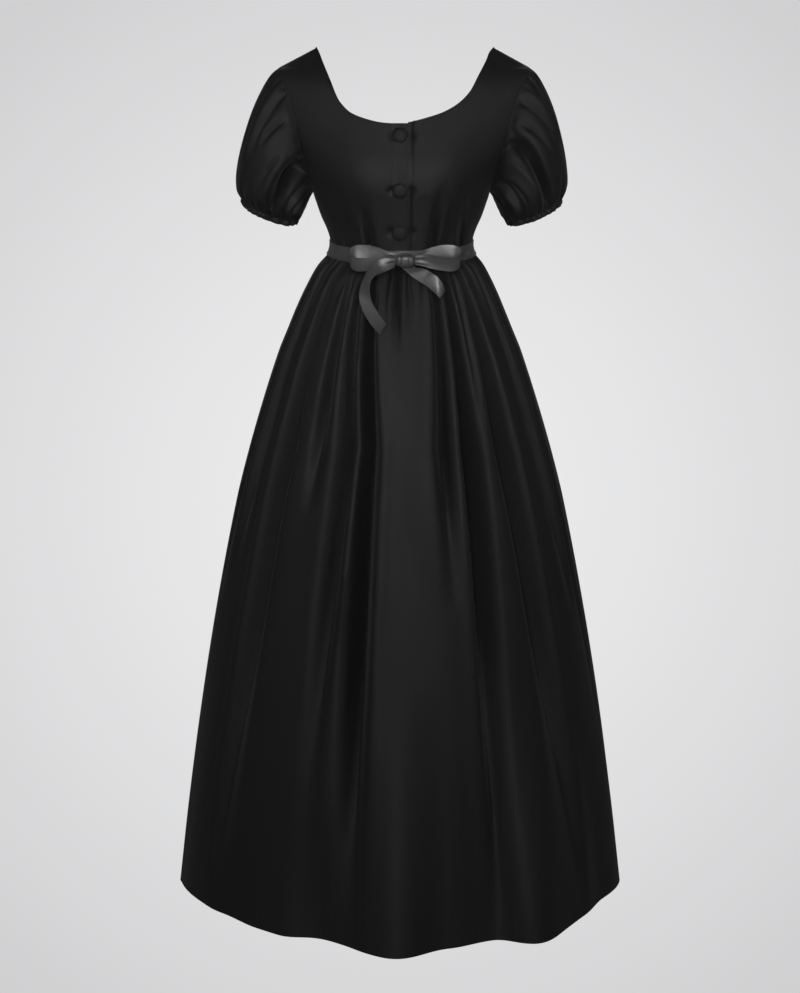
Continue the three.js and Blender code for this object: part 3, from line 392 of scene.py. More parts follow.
def crepe(name, roughness, pebbles):
    """Black crepe: a pebbled grain, uneven rows of yarn and faint lustrous streaks down the cloth."""
    material, tree, shader, flat = principled(name, CREPE_LIGHT, roughness)
    streaks = pattern(tree, flat, across=210, along=5, detail=3)
    patches = pattern(tree, flat, across=14, along=5, detail=2)
    grain = pattern(tree, flat, across=pebbles, along=pebbles * 0.7, detail=2)
    yarn = pattern(tree, flat, across=2400, along=160, detail=1)
    colour = shades(tree, between(tree, streaks, 0, 1), CREPE_DARK, CREPE_LIGHT)
    tree.links.new(colour, shader.inputs["Base Color"])
    streaky = between(tree, streaks, roughness - 0.025, roughness + 0.025)
    rough = maths(tree, "ADD", streaky, between(tree, patches, -0.03, 0.03))
    tree.links.new(rough, shader.inputs["Roughness"])
    weave(tree, shader, grain, 0.00012, yarn, 0.00008)
    shader.inputs["Specular IOR Level"].default_value = 0.33
    shader.inputs["Sheen Weight"].default_value = 0.05
    shader.inputs["Sheen Roughness"].default_value = 0.45
    return material


def satin(name, roughness):
    """Satin ribbon: long floats along it and a fine rib across it."""
    material, tree, shader, flat = principled(name, SATIN_LIGHT, roughness)
    floats = pattern(tree, flat, across=1500, along=60, detail=2)
    rib = pattern(tree, flat, across=160, along=3000, detail=1)
    colour = shades(tree, between(tree, floats, 0, 1), SATIN_DARK, SATIN_LIGHT)
    tree.links.new(colour, shader.inputs["Base Color"])
    tree.links.new(between(tree, floats, roughness - 0.04, roughness + 0.05), shader.inputs["Roughness"])
    weave(tree, shader, rib, 0.00006, floats, 0.00006)
    shader.inputs["Specular IOR Level"].default_value = 0.6
    shader.inputs["Anisotropic"].default_value = 0.5
    shader.inputs["Sheen Weight"].default_value = 0.08
    return material


COVERS = {
    "dress_cloth": crepe("black_crepe", roughness=0.64, pebbles=1500),
    "button_cloth": crepe("button_crepe", roughness=0.66, pebbles=2200),
    "ribbon_satin": satin("grey_satin", roughness=0.32),
}

# %% Finished pieces of cloth


def sew(name, node, grids, held, rests_on=(), whole=None, area=None, slot="dress_cloth", closed=False,
        outward=out_of_body, offset=-1):
    """Makes the piece of cloth that stands for a CAD node and says how it was cut.

    The cut is measured on the first grid, or on the whole one that is given where there are several.
    """
    wall, angle = (RIBBON, 60) if slot == "ribbon_satin" else (CLOTH, 50)
    piece = add_cloth(name, grids, wall, outward, closed, offset, angle)
    piece.data.materials.append(COVERS[slot])
    width, length, measured = cut_of(grids[0] if whole is None else whole, closed)
    area = measured if area is None else area
    print(f"{name}: cut {width:.3f} x {length:.3f} m, {area:.4f} square metres,"
          f" {len(piece.data.polygons)} faces")
    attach(piece, "root")
    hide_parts(node)


# %% [markdown]
# ## The skirt
# Two panels are gathered into the waist and fall to the floor. Grid columns run along the folds rather than
# straight down, so that a few hundred of them show every crease without jagged edges.

# %% Skirt surface
COLUMNS_A_FOLD, SKIRT_ROWS = 12, 190
ROWS_UPWARD = 1.45  # above 1, the rows lie closer together near the waist
STRONG_FOLD, STRONG_FROM = 1.75, 12  # how much deeper than in CAD a fold is that goes in 12 mm
ROLL_SHARE = 0.07  # height of the rolls beside a fold, as a share of its depth
SEAM_CALM = 4  # degrees beside each side seam over which all folds fade
draw = np.random.default_rng(11)


def fold_value(at_waist, at_knee, at_hem, z):
    """One of the values that a fold has at waist, knee and hem, at a height."""
    above = mix(at_waist, at_knee, (WAIST_Z - z) / (WAIST_Z - KNEE_Z))
    below = mix(at_knee, at_hem, (KNEE_Z - z) / (KNEE_Z - HEM_Z))
    return np.where(z > KNEE_Z, above, below)


def waist_dip(across, z, face):
    """Sag of the waist seam across the front, near the seam."""
    if face < 0:
        return 0 * z
    return WAIST_DIP * (1 - across**2) * (1 - ramp(np.abs(z - WAIST_Z), 0, DIP_REACH))


def little_gathers(count, reach, uneven, *spreads):
    """Places, lengths, depths and half widths of one panel's little gathers, drawn between two ends."""
    places = np.linspace(-reach, reach, count) + draw.uniform(-uneven, uneven, count)
    return np.stack([places, *(draw.uniform(low, high, count) for low, high in spreads)], axis=1)


SKIRT_GATHERS = {face: little_gathers(64, 87, 0.9, (22, 85), (0.7, 2.1), (2.2, 3.6)) for face in (1, -1)}
SKIRT_GATHERS[-1][:, 1] *= 0.9
GATHER_DEEP, GATHER_WIDE, GATHER_OPENS = 2.5, 1.2, 70  # a gather is twice as wide 70 mm below the seam


def skirt_surface(degrees, z, face):
    """Points of the skirt by degrees round from the middle of the front or back panel."""
    angle = np.radians(degrees)
    side, centre = skirt(SIDE, z), skirt(FRONT if face > 0 else BACK, z)
    girth = (side + centre) / 2
    below = WAIST_Z - z
    inward = np.zeros_like(z)
    free = ramp(below, 6, 60)
    for row in FRONT_FOLDS if face > 0 else BACK_FOLDS:
        ends, steep = row[3], row[10]
        fade = np.clip((z - ends) / max(90, (WAIST_Z - ends) * 0.45), 0, 1)
        distance = np.radians(degrees - fold_value(*row[:3], z)) * girth
        wide = fold_value(*row[7:10], z) * np.where(distance > 0, 1 - steep, 1 + steep)
        deep = fold_value(*row[4:7], z) * fade * (STRONG_FOLD if row[5] > STRONG_FROM else 1)
        inward += deep * (trough(distance, wide) - ROLL_SHARE * free * roll(distance, wide))
    for place, length, deep, wide in SKIRT_GATHERS[face]:
        distance = np.radians(degrees - place) * girth
        fade = 1 - ramp(below, 0.4 * length, 1.15 * length)
        opened = GATHER_WIDE * wide * (1 + below / GATHER_OPENS)
        inward += GATHER_DEEP * deep * fade * trough(distance, opened)
    # A slow sway of under 2 mm, so that the cloth between the folds isn't perfectly smooth.
    sway = 0.9 * np.sin(degrees / 7.3 + z / 190 + face) + 0.6 * np.sin(degrees / 3.9 - z / 130)
    inward += sway * ramp(below, 60, 260)
    inward *= ramp(90 - np.abs(degrees), 0, SEAM_CALM)
    depth = centre * np.maximum(0, np.cos(angle)) ** skirt(POINT, z) - inward * np.cos(angle)
    for at, half, starts, out in FRONT_WAVES if face > 0 else BACK_WAVES:
        swell = 0.5 + 0.5 * np.cos(np.pi * np.clip((degrees - at) / half, -1, 1))
        depth += out * swell * (1 - ramp(z, HEM_Z, starts))
    depth = np.maximum(depth, SEAM_GAP / 2)
    x = skirt(LEAN, z) + (side - inward) * np.sin(angle)
    z = z - SEAM_GAP / 2 * (z >= WAIST_Z) - waist_dip(degrees / 90, z, face)
    return np.stack([x, -face * depth, z], axis=-1)


def skirt_grid(face):
    rows = FRONT_FOLDS if face > 0 else BACK_FOLDS
    lines = np.array([[-90] * 3, *[row[:3] for row in rows], [90] * 3], float)
    place = np.linspace(0, len(lines) - 1, (len(lines) - 1) * COLUMNS_A_FOLD + 1)
    waist, knee, hem = (np.interp(place, np.arange(len(lines)), lines[:, k]) for k in range(3))
    down = np.linspace(0, 1, SKIRT_ROWS) ** ROWS_UPWARD
    z = np.broadcast_to((WAIST_Z + (HEM_Z - WAIST_Z) * down)[:, None], (SKIRT_ROWS, len(place)))
    return skirt_surface(fold_value(waist[None], knee[None], hem[None], z), z, face)


# %% [markdown]
# The hem is turned up 30 mm inside, as a dressmaker does, and only its fold shows from outside. The
# turned part is a second strip of cloth just behind the first. It could be left out, but the dress is
# open below and it can be seen there.

# %% Skirt panels
HEM_TURN = 30
ALLOWANCE = 5  # how far each seam allowance reaches from its seam, on the inside
BEHIND = CLOTH + 0.25  # from the face of the cloth to the turned hem
APART = 0.5  # the turned hems of front and back stay this far from the plane between them
INSET = CLOTH + 0.6  # from a side seam to its allowance


def seam_allowance(edge, side, inset):
    """A narrow strip behind a side seam, where the two layers are sewn together and pressed open."""
    reach = np.linspace(-ALLOWANCE, ALLOWANCE, 5)
    strip = np.repeat(edge[:, None], len(reach), axis=1)
    strip[..., 0] -= side * np.broadcast_to(inset, len(edge))[:, None]
    strip[..., 1] = reach
    return strip


def skirt_panel(face, name, node):
    points = skirt_grid(face)
    turned = points[points[:, 0, 2] < HEM_Z + HEM_TURN]
    inside = turned - facing_out(turned) * BEHIND
    inside[..., 1] = np.minimum(inside[..., 1], -APART) if face > 0 else np.maximum(inside[..., 1], APART)
    grids = [points, inside]
    if face < 0:
        z = np.linspace(WAIST_Z - 14, HEM_Z + 3, 90)
        inset = mix(INSET, INSET + CLOTH + 1, 1 - ramp(z, HEM_Z + HEM_TURN, HEM_Z + 2 * HEM_TURN))
        for side in (-1, 1):
            grids.append(seam_allowance(skirt_surface(np.full_like(z, 90 * side), z, face), side, inset))
    sew(name, node, grids, "gathered", rests_on=["bodice_back_cloth"])


skirt_panel(1, "skirt_front_cloth", "skirt_front")
skirt_panel(-1, "skirt_back_cloth", "skirt_back")

# %% [markdown]
# ## The bodice
# Two fronts and a back meet at the side and shoulder seams. The rows of the grid rise from the waist to
# the shoulder, with their outer ends on the armhole and their inner ends on the neckline, so both edges
# come out clean. A full section cut open with a boolean would leave ragged ones.

# %% Bodice surface
BODICE_ROWS, BODICE_COLUMNS = 130, 76
ARMHOLE_MIDDLE = (SHOULDER_TIP_Z + UNDERARM_Z) / 2
ARMHOLE_HALF = (SHOULDER_TIP_Z - UNDERARM_Z) / 2
BUTTON_HEIGHTS = {"top": -114, "middle": -199, "bottom": -266}
SIDES = ((-1, "right"), (1, "left"))
HEIGHTS = np.arange(-400.0, 100.0, 1.0)
EASE_REACH, EASE_WIDTH = 48, 15.0
EXACT_FROM, EXACT_AT = 0.62, 0.98  # shares of the way to the side seam
EASING = np.exp(-0.5 * (np.arange(-EASE_REACH, EASE_REACH + 1) / EASE_WIDTH) ** 2)


def eased(values):
    """The same values by height, with every kink softened over some 30 mm."""
    padded = np.pad(values, EASE_REACH, mode="edge")
    return np.convolve(padded, EASING / EASING.sum(), mode="valid")


def true_bulge(z):
    """Opening of the armhole at a height, 0 at its top and bottom and 1 at its middle."""
    return np.sqrt(np.maximum(0, 1 - ((z - ARMHOLE_MIDDLE) / ARMHOLE_HALF) ** 2))


def true_side(z):
    shoulder = mix(SHOULDER_TIP_X, NECK_POINT_X, (z - SHOULDER_TIP_Z) / (NECK_POINT_Z - SHOULDER_TIP_Z))
    return np.where(z <= SHOULDER_TIP_Z, bodice(SIDE, z), shoulder)


EASED_BULGE, EASED_SIDE = eased(true_bulge(HEIGHTS)), eased(true_side(HEIGHTS))


def bodice_outline(across, z):
    """Bulge of the armhole, turn and half width: exact along the seams and eased between them."""
    at_seam = ramp(np.abs(across), EXACT_FROM, EXACT_AT)
    bulge = mix(np.interp(z, HEIGHTS, EASED_BULGE), true_bulge(z), at_seam)
    side = mix(np.interp(z, HEIGHTS, EASED_SIDE), true_side(z), at_seam)
    return bulge, np.radians(90 - ARMHOLE_TURN * bulge), side


def bodice_x(across, z):
    _, turn, side = bodice_outline(across, z)
    return bodice(LEAN, z) + side * np.sin(across * turn) / np.sin(turn)


HALVINGS = 36


def across_of(x, z):
    """Where a place x of the bodice lies between its side seams, from -1 to 1, found by halving."""
    low, high = np.full(np.shape(x), -1.0), np.full(np.shape(x), 1.0)
    for _ in range(HALVINGS):
        middle = (low + high) / 2
        short = bodice_x(middle, z) < x
        low, high = np.where(short, middle, low), np.where(short, high, middle)
    return (low + high) / 2


BODICE_WAIST_GATHERS = {
    face: little_gathers(26, 104, 2.2, (12, 46), (0.5, 1.5), (2.0, 3.4)) for face in (1, -1)
}
BODICE_FOLD_DEEP, BODICE_FOLD_WIDE, BODICE_ROLL = 3, 0.85, 0.2  # against the tables, and the rolls' share
# The line along the placket's free edge, where the left front is drawn under, and the dimples on both sides
# of each button: depth, place across and half sizes.
GROOVE_DEEP, GROOVE_X, GROOVE_HALF = 1.8, PLACKET_WIDTH / 2 + 2.9, 1.2
DIMPLE_DEEP, DIMPLE_X, DIMPLE_WIDE, DIMPLE_HIGH = 4, 17, 5, 6


def bodice_gathers(x, z, face):
    inward = np.zeros_like(z)
    for waist, bust, ends, deep, wide in FRONT_GATHERS if face > 0 else BACK_GATHERS:
        along = np.clip((z - WAIST_Z) / (ends - WAIST_Z), 0, 1)
        distance = x - mix(waist, bust, (z - WAIST_Z) / (BUST_Z - WAIST_Z))
        half = BODICE_FOLD_WIDE * wide * (1 + along)
        rolls = BODICE_ROLL * ramp(z, -292, -270) * roll(distance, half)
        inward += BODICE_FOLD_DEEP * deep * (1 - along) * (trough(distance, half) - rolls)
    above = z - WAIST_Z
    for place, length, deep, wide in BODICE_WAIST_GATHERS[face]:
        if face > 0 and abs(place) < PLACKET_WIDTH * 0.7:
            continue
        spread = place * (1 + above / 420)
        fade = 1 - ramp(above, 0.3 * length, length)
        inward += deep * trough(x - spread, wide * (1 + above / 60)) * fade
    return inward


def button_pulls(x, z):
    """Shallow dimples on both sides of each button, which draws the cloth in, and the placket's line."""
    pull = GROOVE_DEEP * np.exp(-(((x - GROOVE_X) / GROOVE_HALF) ** 2))
    for height in BUTTON_HEIGHTS.values():
        away = ((np.abs(x) - DIMPLE_X) / DIMPLE_WIDE) ** 2 + ((z - height) / DIMPLE_HIGH) ** 2
        pull = pull + DIMPLE_DEEP * np.exp(-away)
    return pull


def bodice_surface(across, z, face):
    """Points of the bodice, across from -1 to 1 between its side seams."""
    bulge, turn, side = bodice_outline(across, z)
    seam = bulge * (ARMHOLE_FRONT if face > 0 else ARMHOLE_BACK)
    centre = bodice(FRONT if face > 0 else BACK, z)
    angle = across * turn
    x = side * np.sin(angle) / np.sin(turn)
    depth = centre - (centre - seam) * (1 - np.cos(angle)) / (1 - np.cos(turn))
    if face > 0:
        sideways, upwards = (np.abs(x) - BUST_APART) / BUST_WIDE, (z - BUST_Z) / BUST_HIGH
        depth = depth + BUST_RISE * np.exp(-0.5 * (sideways**2 + upwards**2)) * (1 - across**4)
        depth = depth - button_pulls(x, z)
    depth = depth - bodice_gathers(x, z, face)
    depth = np.maximum(depth, SEAM_GAP / 2)
    up = SEAM_GAP / 2 * (z <= WAIST_Z)
    return np.stack([bodice(LEAN, z) + x, -face * depth, z + up - waist_dip(across, z, face)], axis=-1)


# %% Bodice panels
NECK_FIRM = 0.45  # how far the turned and pressed edge of the neckline stands proud
NECK_FIRM_WIDTH = 4


def bodice_rows(neckline):
    """Heights of both ends of the fine rows, and the height on the neckline that each row stands for."""
    round_it = np.linspace(0, np.pi, len(INNER_BESIDE_ARMHOLE))
    beside = np.stack([ARMHOLE_MIDDLE - ARMHOLE_HALF * np.cos(round_it), INNER_BESIDE_ARMHOLE], axis=1)
    top = [NECK_POINT_Z, NECK_POINT_Z]
    coarse = np.array([*ROWS_BELOW_ARMHOLE, *beside, *ROWS_ABOVE_ARMHOLE, top], float)
    place = np.unique(np.concatenate([np.linspace(0, len(coarse) - 1, BODICE_ROWS), [NECK_ROW]]))
    outer = smooth(np.arange(len(coarse), dtype=float), coarse[:, 0], place)
    inner = np.interp(place, np.arange(len(coarse)), coarse[:, 1])
    first = len(ROWS_BELOW_ARMHOLE)
    last = first + len(beside) - 1
    round_armhole = (place >= first) & (place <= last)
    turned = ARMHOLE_MIDDLE - ARMHOLE_HALF * np.cos(np.pi * (place - first) / (last - first))
    outer = np.where(round_armhole, turned, outer)
    stretch = (NECK_POINT_Z - neckline) / (NECK_POINT_Z - NECK_FRONT_Z)
    lowered = np.where(place >= NECK_ROW, NECK_POINT_Z - (NECK_POINT_Z - inner) * stretch,
                       mix(WAIST_Z, neckline, (inner - WAIST_Z) / (NECK_FRONT_Z - WAIST_Z)))
    return outer, lowered, inner, place > NECK_ROW


def bodice_half(side, face, neckline, split):
    """Grid of half a bodice panel. split is the place x of its straight inner edge, or None on the back."""
    outer, inner, on_neckline, at_neck = bodice_rows(neckline)
    middle = np.where(at_neck & (face > 0), neck(2, on_neckline), bodice(LEAN, inner))
    edge = bodice(LEAN, inner) if split is None else np.full_like(inner, split)
    scoop = middle + side * neck(1, on_neckline)
    if split is not None and side > 0:
        scoop = np.maximum(scoop, split)
    start = across_of(np.where(at_neck, scoop, edge), inner)
    share = np.linspace(0, 1, BODICE_COLUMNS)[None]
    across = mix(start[:, None], side, share)
    z = mix(inner[:, None], outer[:, None], share)
    points = bodice_surface(across, z, face)
    away = np.linalg.norm(points - points[:, :1], axis=2)
    firm = NECK_FIRM * (1 - ramp(away, 0.6 * NECK_FIRM_WIDTH, NECK_FIRM_WIDTH)) * at_neck[:, None]
    return points + facing_out(points) * firm[..., None]


FRONT_SPLIT = PLACKET_WIDTH / 2
for side, word in SIDES:
    half = bodice_half(side, 1, NECK_FRONT_Z, FRONT_SPLIT + side * SEAM_GAP / 2)
    sew(f"bodice_front_{word}_cloth", f"bodice_front_{word}", [half], "stretched")

halves = [bodice_half(side, -1, NECK_BACK_Z, None) for side in (-1, 1)]
z = np.linspace(WAIST_Z + 14, UNDERARM_Z - 4, 20)
strips = [seam_allowance(bodice_surface(np.full_like(z, side), z, -1), side, INSET) for side in (-1, 1)]
sew("bodice_back_cloth", "bodice_back", halves + strips, "stretched",
    whole=np.concatenate([halves[0][:, ::-1], halves[1][:, 1:]], axis=1),
    area=sum(cut_of(half)[2] for half in halves))

# %% [markdown]
# ## Placket and buttons
# A strip of cloth covers the edge of the right front. It is stitched down along both sides, and each line
# of stitches pulls a fine groove. The buttons are domed forms covered with the same crepe.

# %% Placket
STITCH_IN = 3  # distance of the stitched lines from the placket's edges
PLACKET_LAP = 1.4  # how far the placket laps over the left front, so that no light comes through
PLACKET_LOW = -290.5


def placket_grid():
    x = np.linspace(-FRONT_SPLIT, FRONT_SPLIT + PLACKET_LAP, 31)[None]
    z = np.linspace(PLACKET_LOW, NECK_FRONT_Z, 120)[:, None]
    x, z = np.broadcast_arrays(x, z)
    base = bodice_surface(across_of(x, z), z, 1)
    to_edge = FRONT_SPLIT + PLACKET_LAP / 2 - np.abs(x - PLACKET_LAP / 2)
    soft = 0.35 * ramp(to_edge, 0, 2.2) - 0.4 * np.exp(-(((to_edge - STITCH_IN) / 0.8) ** 2))
    raised = base + facing_out(base) * (LAID_GAP + BEHIND + soft)[..., None]
    raised[..., 0] = base[..., 0]
    return raised


sew("placket_cloth", "button_placket", [placket_grid()], "laid", rests_on=["bodice_front_right_cloth"])

# %% Covered buttons
BUTTON_BASE = 0.86  # radius of a button's underside, as a share of its own
# Height in millimetres and share of the radius of each ring of the dome.
DOME = [(0.7, 1), (1.5, 1), (2.6, 0.985), (3.9, 0.9), (5, 0.76), (5.75, 0.58), (6.2, 0.38), (6.42, 0.18)]
RIM_GATHERS, RIM_FROM, RIM_DEEP = 22, 0.82, 0.25  # the cloth's gathers round the rim


def button_place(z):
    """Middle of a button's base and the direction in which it faces, as in CAD."""
    def front_at(x, up):
        height = np.array(z + up * BUTTON_RADIUS, float)
        return bodice_surface(across_of(np.array(x, float), height), height, 1)
    below, above = front_at(0, -1), front_at(0, 1)
    out = np.array([0, below[2] - above[2], above[1] - below[1]])
    out /= np.linalg.norm(out)
    middle = (above + below) / 2
    under = max(((front_at(share * PLACKET_WIDTH, up) - middle) * out).sum()
                for share in (-0.5, 0, 0.5) for up in (-1, -0.5, 0, 0.5, 1))
    return middle + out * (under + LAID_GAP + CLOTH + BUTTON_LIFT), out


def raise_ring(piece, height, share):
    """Draws the top face of a button up to a height, as a ring of that share of its radius."""
    bpy.ops.mesh.select_all(action="DESELECT")
    bpy.ops.object.mode_set(mode="OBJECT")
    top = max(piece.data.polygons, key=lambda face: face.center.z)
    top.select = True
    wide = max(piece.data.vertices[i].co.xy.length for i in top.vertices)
    rise = height * MM - top.center.z
    bpy.ops.object.mode_set(mode="EDIT")
    bpy.ops.mesh.extrude_region_move(TRANSFORM_OT_translate={"value": (0, 0, rise)})
    scale = share * BUTTON_RADIUS * MM / wide
    bpy.ops.transform.resize(value=(scale, scale, 1), center_override=(0, 0, height * MM))


def covered_button(name, node, z):
    """A dome shaped from a cylinder: its top is drawn in ring by ring, and its rim is rounded under."""
    middle, out = button_place(z)
    bpy.ops.object.select_all(action="DESELECT")
    base = BUTTON_RADIUS * BUTTON_BASE * MM
    bpy.ops.mesh.primitive_cylinder_add(vertices=48, radius=base, depth=0.4 * MM)
    piece = bpy.context.object
    piece.name = piece.data.name = name
    bpy.ops.object.mode_set(mode="EDIT")
    bpy.ops.mesh.select_mode(type="FACE")
    for height, share in DOME:
        raise_ring(piece, height, share)
    bpy.ops.mesh.inset(thickness=0.9 * MM)
    bpy.ops.mesh.poke()
    bpy.ops.mesh.select_all(action="SELECT")
    bpy.ops.uv.smart_project(scale_to_bounds=False)
    bpy.ops.object.mode_set(mode="OBJECT")
    layer = piece.data.uv_layers.active
    layer.name = "flat_cloth"
    for loop in piece.data.loops:
        place = piece.data.vertices[loop.vertex_index].co
        layer.data[loop.index].uv = (place.x, place.y + place.z * 0.4)
    smoothing = piece.modifiers.new("smoothing", "SUBSURF")
    smoothing.levels = smoothing.render_levels = 1
    bpy.ops.object.modifier_apply(modifier=smoothing.name)
    turn = np.array([[1, 0, 0], np.cross(out, [1, 0, 0]), out])
    for vertex in piece.data.vertices:
        away = vertex.co.xy.length / (BUTTON_RADIUS * MM)
        angle = math.atan2(vertex.co.y, vertex.co.x)
        wave = math.cos(RIM_GATHERS * angle + 2 * math.sin(3 * angle))
        gather = RIM_DEEP * MM * wave * max(0, away - RIM_FROM) / (1 - RIM_FROM)
        vertex.co.xy *= 1 + gather / max(vertex.co.xy.length, MM)
        vertex.co = (middle + np.array(vertex.co) / MM @ turn) * MM
    bpy.ops.object.shade_smooth()
    piece.data.materials.clear()
    piece.data.materials.append(COVERS["button_cloth"])
    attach(piece, "root")
    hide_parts(node)
    print(f"{name}: at height {z} mm, {len(piece.data.polygons)} faces")


for word, height in BUTTON_HEIGHTS.items():
    covered_button(f"button_{word}_cover", f"button_{word}", height)

# %% [markdown]
# ## Puff sleeves
# Each sleeve is a full tube, gathered into the armhole and into a narrow elastic casing at the cuff.
# Rings of points run round it, as rings of yarn would, and the long folds run down it where the
# photograph shows them.

# %% Sleeve surface
# Share of the length, outer and inner end, reach forward and reach back.
SLEEVE_SECTIONS = np.array([
    [0, 199, -12.5, 143, -213, 52, 56], [0.1, 213, -24, 145.5, -217, 60, 63],
    [0.22, 227, -46, 148, -221, 66, 68], [0.36, 241, -76, 150, -226, 70, 71],
    [0.5, 252, -108, 152.5, -231, 72, 72], [0.65, 262, -146, 155, -237, 71, 71],
    [0.78, 268, -180, 158, -243, 67, 67], [0.88, 269, -202, 160.5, -248.5, 61, 61],
    [0.95, 266.5, -213, 162.5, -253, 55, 55], [1, 261, -219, 165, -256.5, 50, 50],
])
# Degrees round at armhole and cuff, where along the sleeve it starts and stops, depth, half width, and
# how much steeper its far side is.
SLEEVE_FOLDS = {
    -1: [[50, 40, 0.04, 0.7, 7, 14, 0], [120, 94, 0.08, 1.05, 16, 18, 0.1], [146, 122, 0.1, 0.95, 8, 12, 0],
         [-60, -50, 0.05, 0.9, 9, 15, 0.1], [-115, -95, 0.08, 0.95, 9, 15, -0.1]],
    1: [[58, 30, 0.03, 0.55, 8, 13, 0.1], [98, 62, 0.05, 1.05, 15, 15, 0.1],
        [142, 112, 0.1, 0.95, 9, 13, 0], [-55, -48, 0.05, 0.9, 9, 15, 0],
        [-118, -98, 0.08, 0.95, 9, 15, 0.1]],
}
# Softer creases that only the fine shell has.
SLEEVE_CREASES = {
    -1: [[72, 58, 0.08, 0.5, 3.2, 9, 0], [28, 12, 0.1, 0.8, 2.6, 10, 0], [92, 70, 0.3, 0.85, 2.4, 8, 0],
         [128, 104, 0.05, 0.6, 3, 7, 0], [-30, -20, 0.1, 0.7, 2.6, 10, 0], [-88, -74, 0.1, 0.8, 3, 9, 0],
         [166, 148, 0.1, 0.7, 2.5, 8, 0], [160, 138, 0.3, 1, 9, 13, 0]],
    1: [[76, 48, 0.1, 0.6, 3.2, 8, 0], [34, 8, 0.1, 0.8, 2.6, 9, 0], [108, 84, 0.1, 0.7, 3, 8, 0],
        [126, 100, 0.3, 0.9, 2.4, 8, 0], [-28, -16, 0.1, 0.7, 2.6, 10, 0], [-86, -70, 0.1, 0.8, 3, 9, 0],
        [164, 146, 0.1, 0.7, 2.5, 8, 0]],
}
SLEEVE_ROWS, HEAD_ROWS, HEAD_SHARE, SLEEVE_COLUMNS = 96, 20, 0.12, 360
SLEEVE_DEEP, SLEEVE_STRONG = 1.5, 2  # how much deeper its folds are than in CAD, the strong ones too
SLEEVE_ROLL = 0.06
HEAD_DEEP, CUFF_DEEP = 2.6, 5.6  # depth of the little gathers at both ends, against their draws
RING = np.arange(SLEEVE_COLUMNS) * 360 / SLEEVE_COLUMNS


def gather_ring(count):
    """Places, depths and lengths of the little gathers round a sleeve's end."""
    places = (np.arange(count) + draw.uniform(-0.28, 0.28, count)) * 360 / count
    return np.stack([places, draw.uniform(0.3, 1.2, count), draw.uniform(0.35, 1.5, count)], axis=1)


HEAD_GATHERS = {side: gather_ring(34) for side in (-1, 1)}
CUFF_GATHERS = {side: gather_ring(34) for side in (-1, 1)}


def round_apart(degrees, place, radius):
    """Distance round a ring from one of its places."""
    return np.radians((degrees - place + 180) % 360 - 180) * radius


def sleeve_inward(degrees, t, side, radius):
    """How far folds and gathers take the sleeve's surface in."""
    inward = np.zeros_like(t)
    for top, low, start, stop, deep, wide, steep in SLEEVE_FOLDS[side] + SLEEVE_CREASES[side]:
        along = np.clip((t - start) / (stop - start), 0, 1)
        distance = round_apart(degrees, mix(top, low, along), radius)
        half = wide * np.where(distance > 0, 1 - steep, 1 + steep)
        amount = deep * np.sin(np.pi * along**0.8)
        amount = amount * (SLEEVE_STRONG if deep > STRONG_FROM else SLEEVE_DEEP)
        inward += amount * (trough(distance, half) - SLEEVE_ROLL * roll(distance, half))
    for place, deep, long in HEAD_GATHERS[side]:
        fade = ramp(t, 0, 0.03) * (1 - ramp(t, 0.04 * long, 0.2 * long))
        inward += HEAD_DEEP * deep * fade * trough(round_apart(degrees, place, radius), 6 + 14 * t)
    for place, deep, long in CUFF_GATHERS[side]:
        fade = ramp(t, 1 - 0.24 * long, 1 - 0.02 * long)
        inward += CUFF_DEEP * deep * fade * trough(round_apart(degrees, place, radius), 8 + 5 * (1 - t))
    return inward


def sleeve_surface(degrees, t, side):
    """Points of a sleeve by degrees round it, 0 outside and 90 in front, and by share of its length."""
    angle = np.radians(degrees)
    outer_x, outer_z, inner_x, inner_z, front, behind = (
        smooth(SLEEVE_SECTIONS[:, 0], SLEEVE_SECTIONS[:, k], t) for k in range(1, 7))
    radial = np.stack([
        (outer_x - inner_x) / 2 * np.cos(angle),
        -np.where(np.sin(angle) > 0, front, behind) * np.sin(angle),
        (outer_z - inner_z) / 2 * np.cos(angle),
    ], axis=-1)
    radius = np.linalg.norm(radial, axis=-1)
    radial *= (1 - sleeve_inward(degrees, t, side, radius) / radius)[..., None]
    x = (outer_x + inner_x) / 2 + radial[..., 0]
    z = (outer_z + inner_z) / 2 + radial[..., 2]
    armhole_z = ARMHOLE_MIDDLE + ARMHOLE_HALF * np.cos(angle)
    straight = mix(UNDERARM_X, SHOULDER_TIP_X, (armhole_z - UNDERARM_Z) / (SHOULDER_TIP_Z - UNDERARM_Z))
    x = x + (true_side(armhole_z) - straight) * (1 - ramp(t, 0, 0.35))
    z = z - CUFF_SAG * np.maximum(0, np.sin(angle)) * ramp(t, 0.7, 1)
    x = bodice(LEAN, np.maximum(z, UNDERARM_Z)) + side * x
    return np.stack([x, radial[..., 1], z], axis=-1)


def sleeve_grid(side):
    head = np.linspace(0, HEAD_SHARE, HEAD_ROWS)[:-1]
    rest = np.linspace(HEAD_SHARE, 1, SLEEVE_ROWS - HEAD_ROWS + 1)
    degrees, t = np.meshgrid(RING, np.concatenate([head, rest]))
    points = sleeve_surface(degrees, t, side)
    seam = (SEAM_GAP + 0.1) * (1 - ramp(t, 0, 0.02))
    return points + np.array([side * 0.963, 0, -0.269]) * seam[..., None]


CUFF_RIPPLES, CUFF_TUCK = 31, 1.8  # waves of the ruffled edge, and how far the casing goes into the sleeve


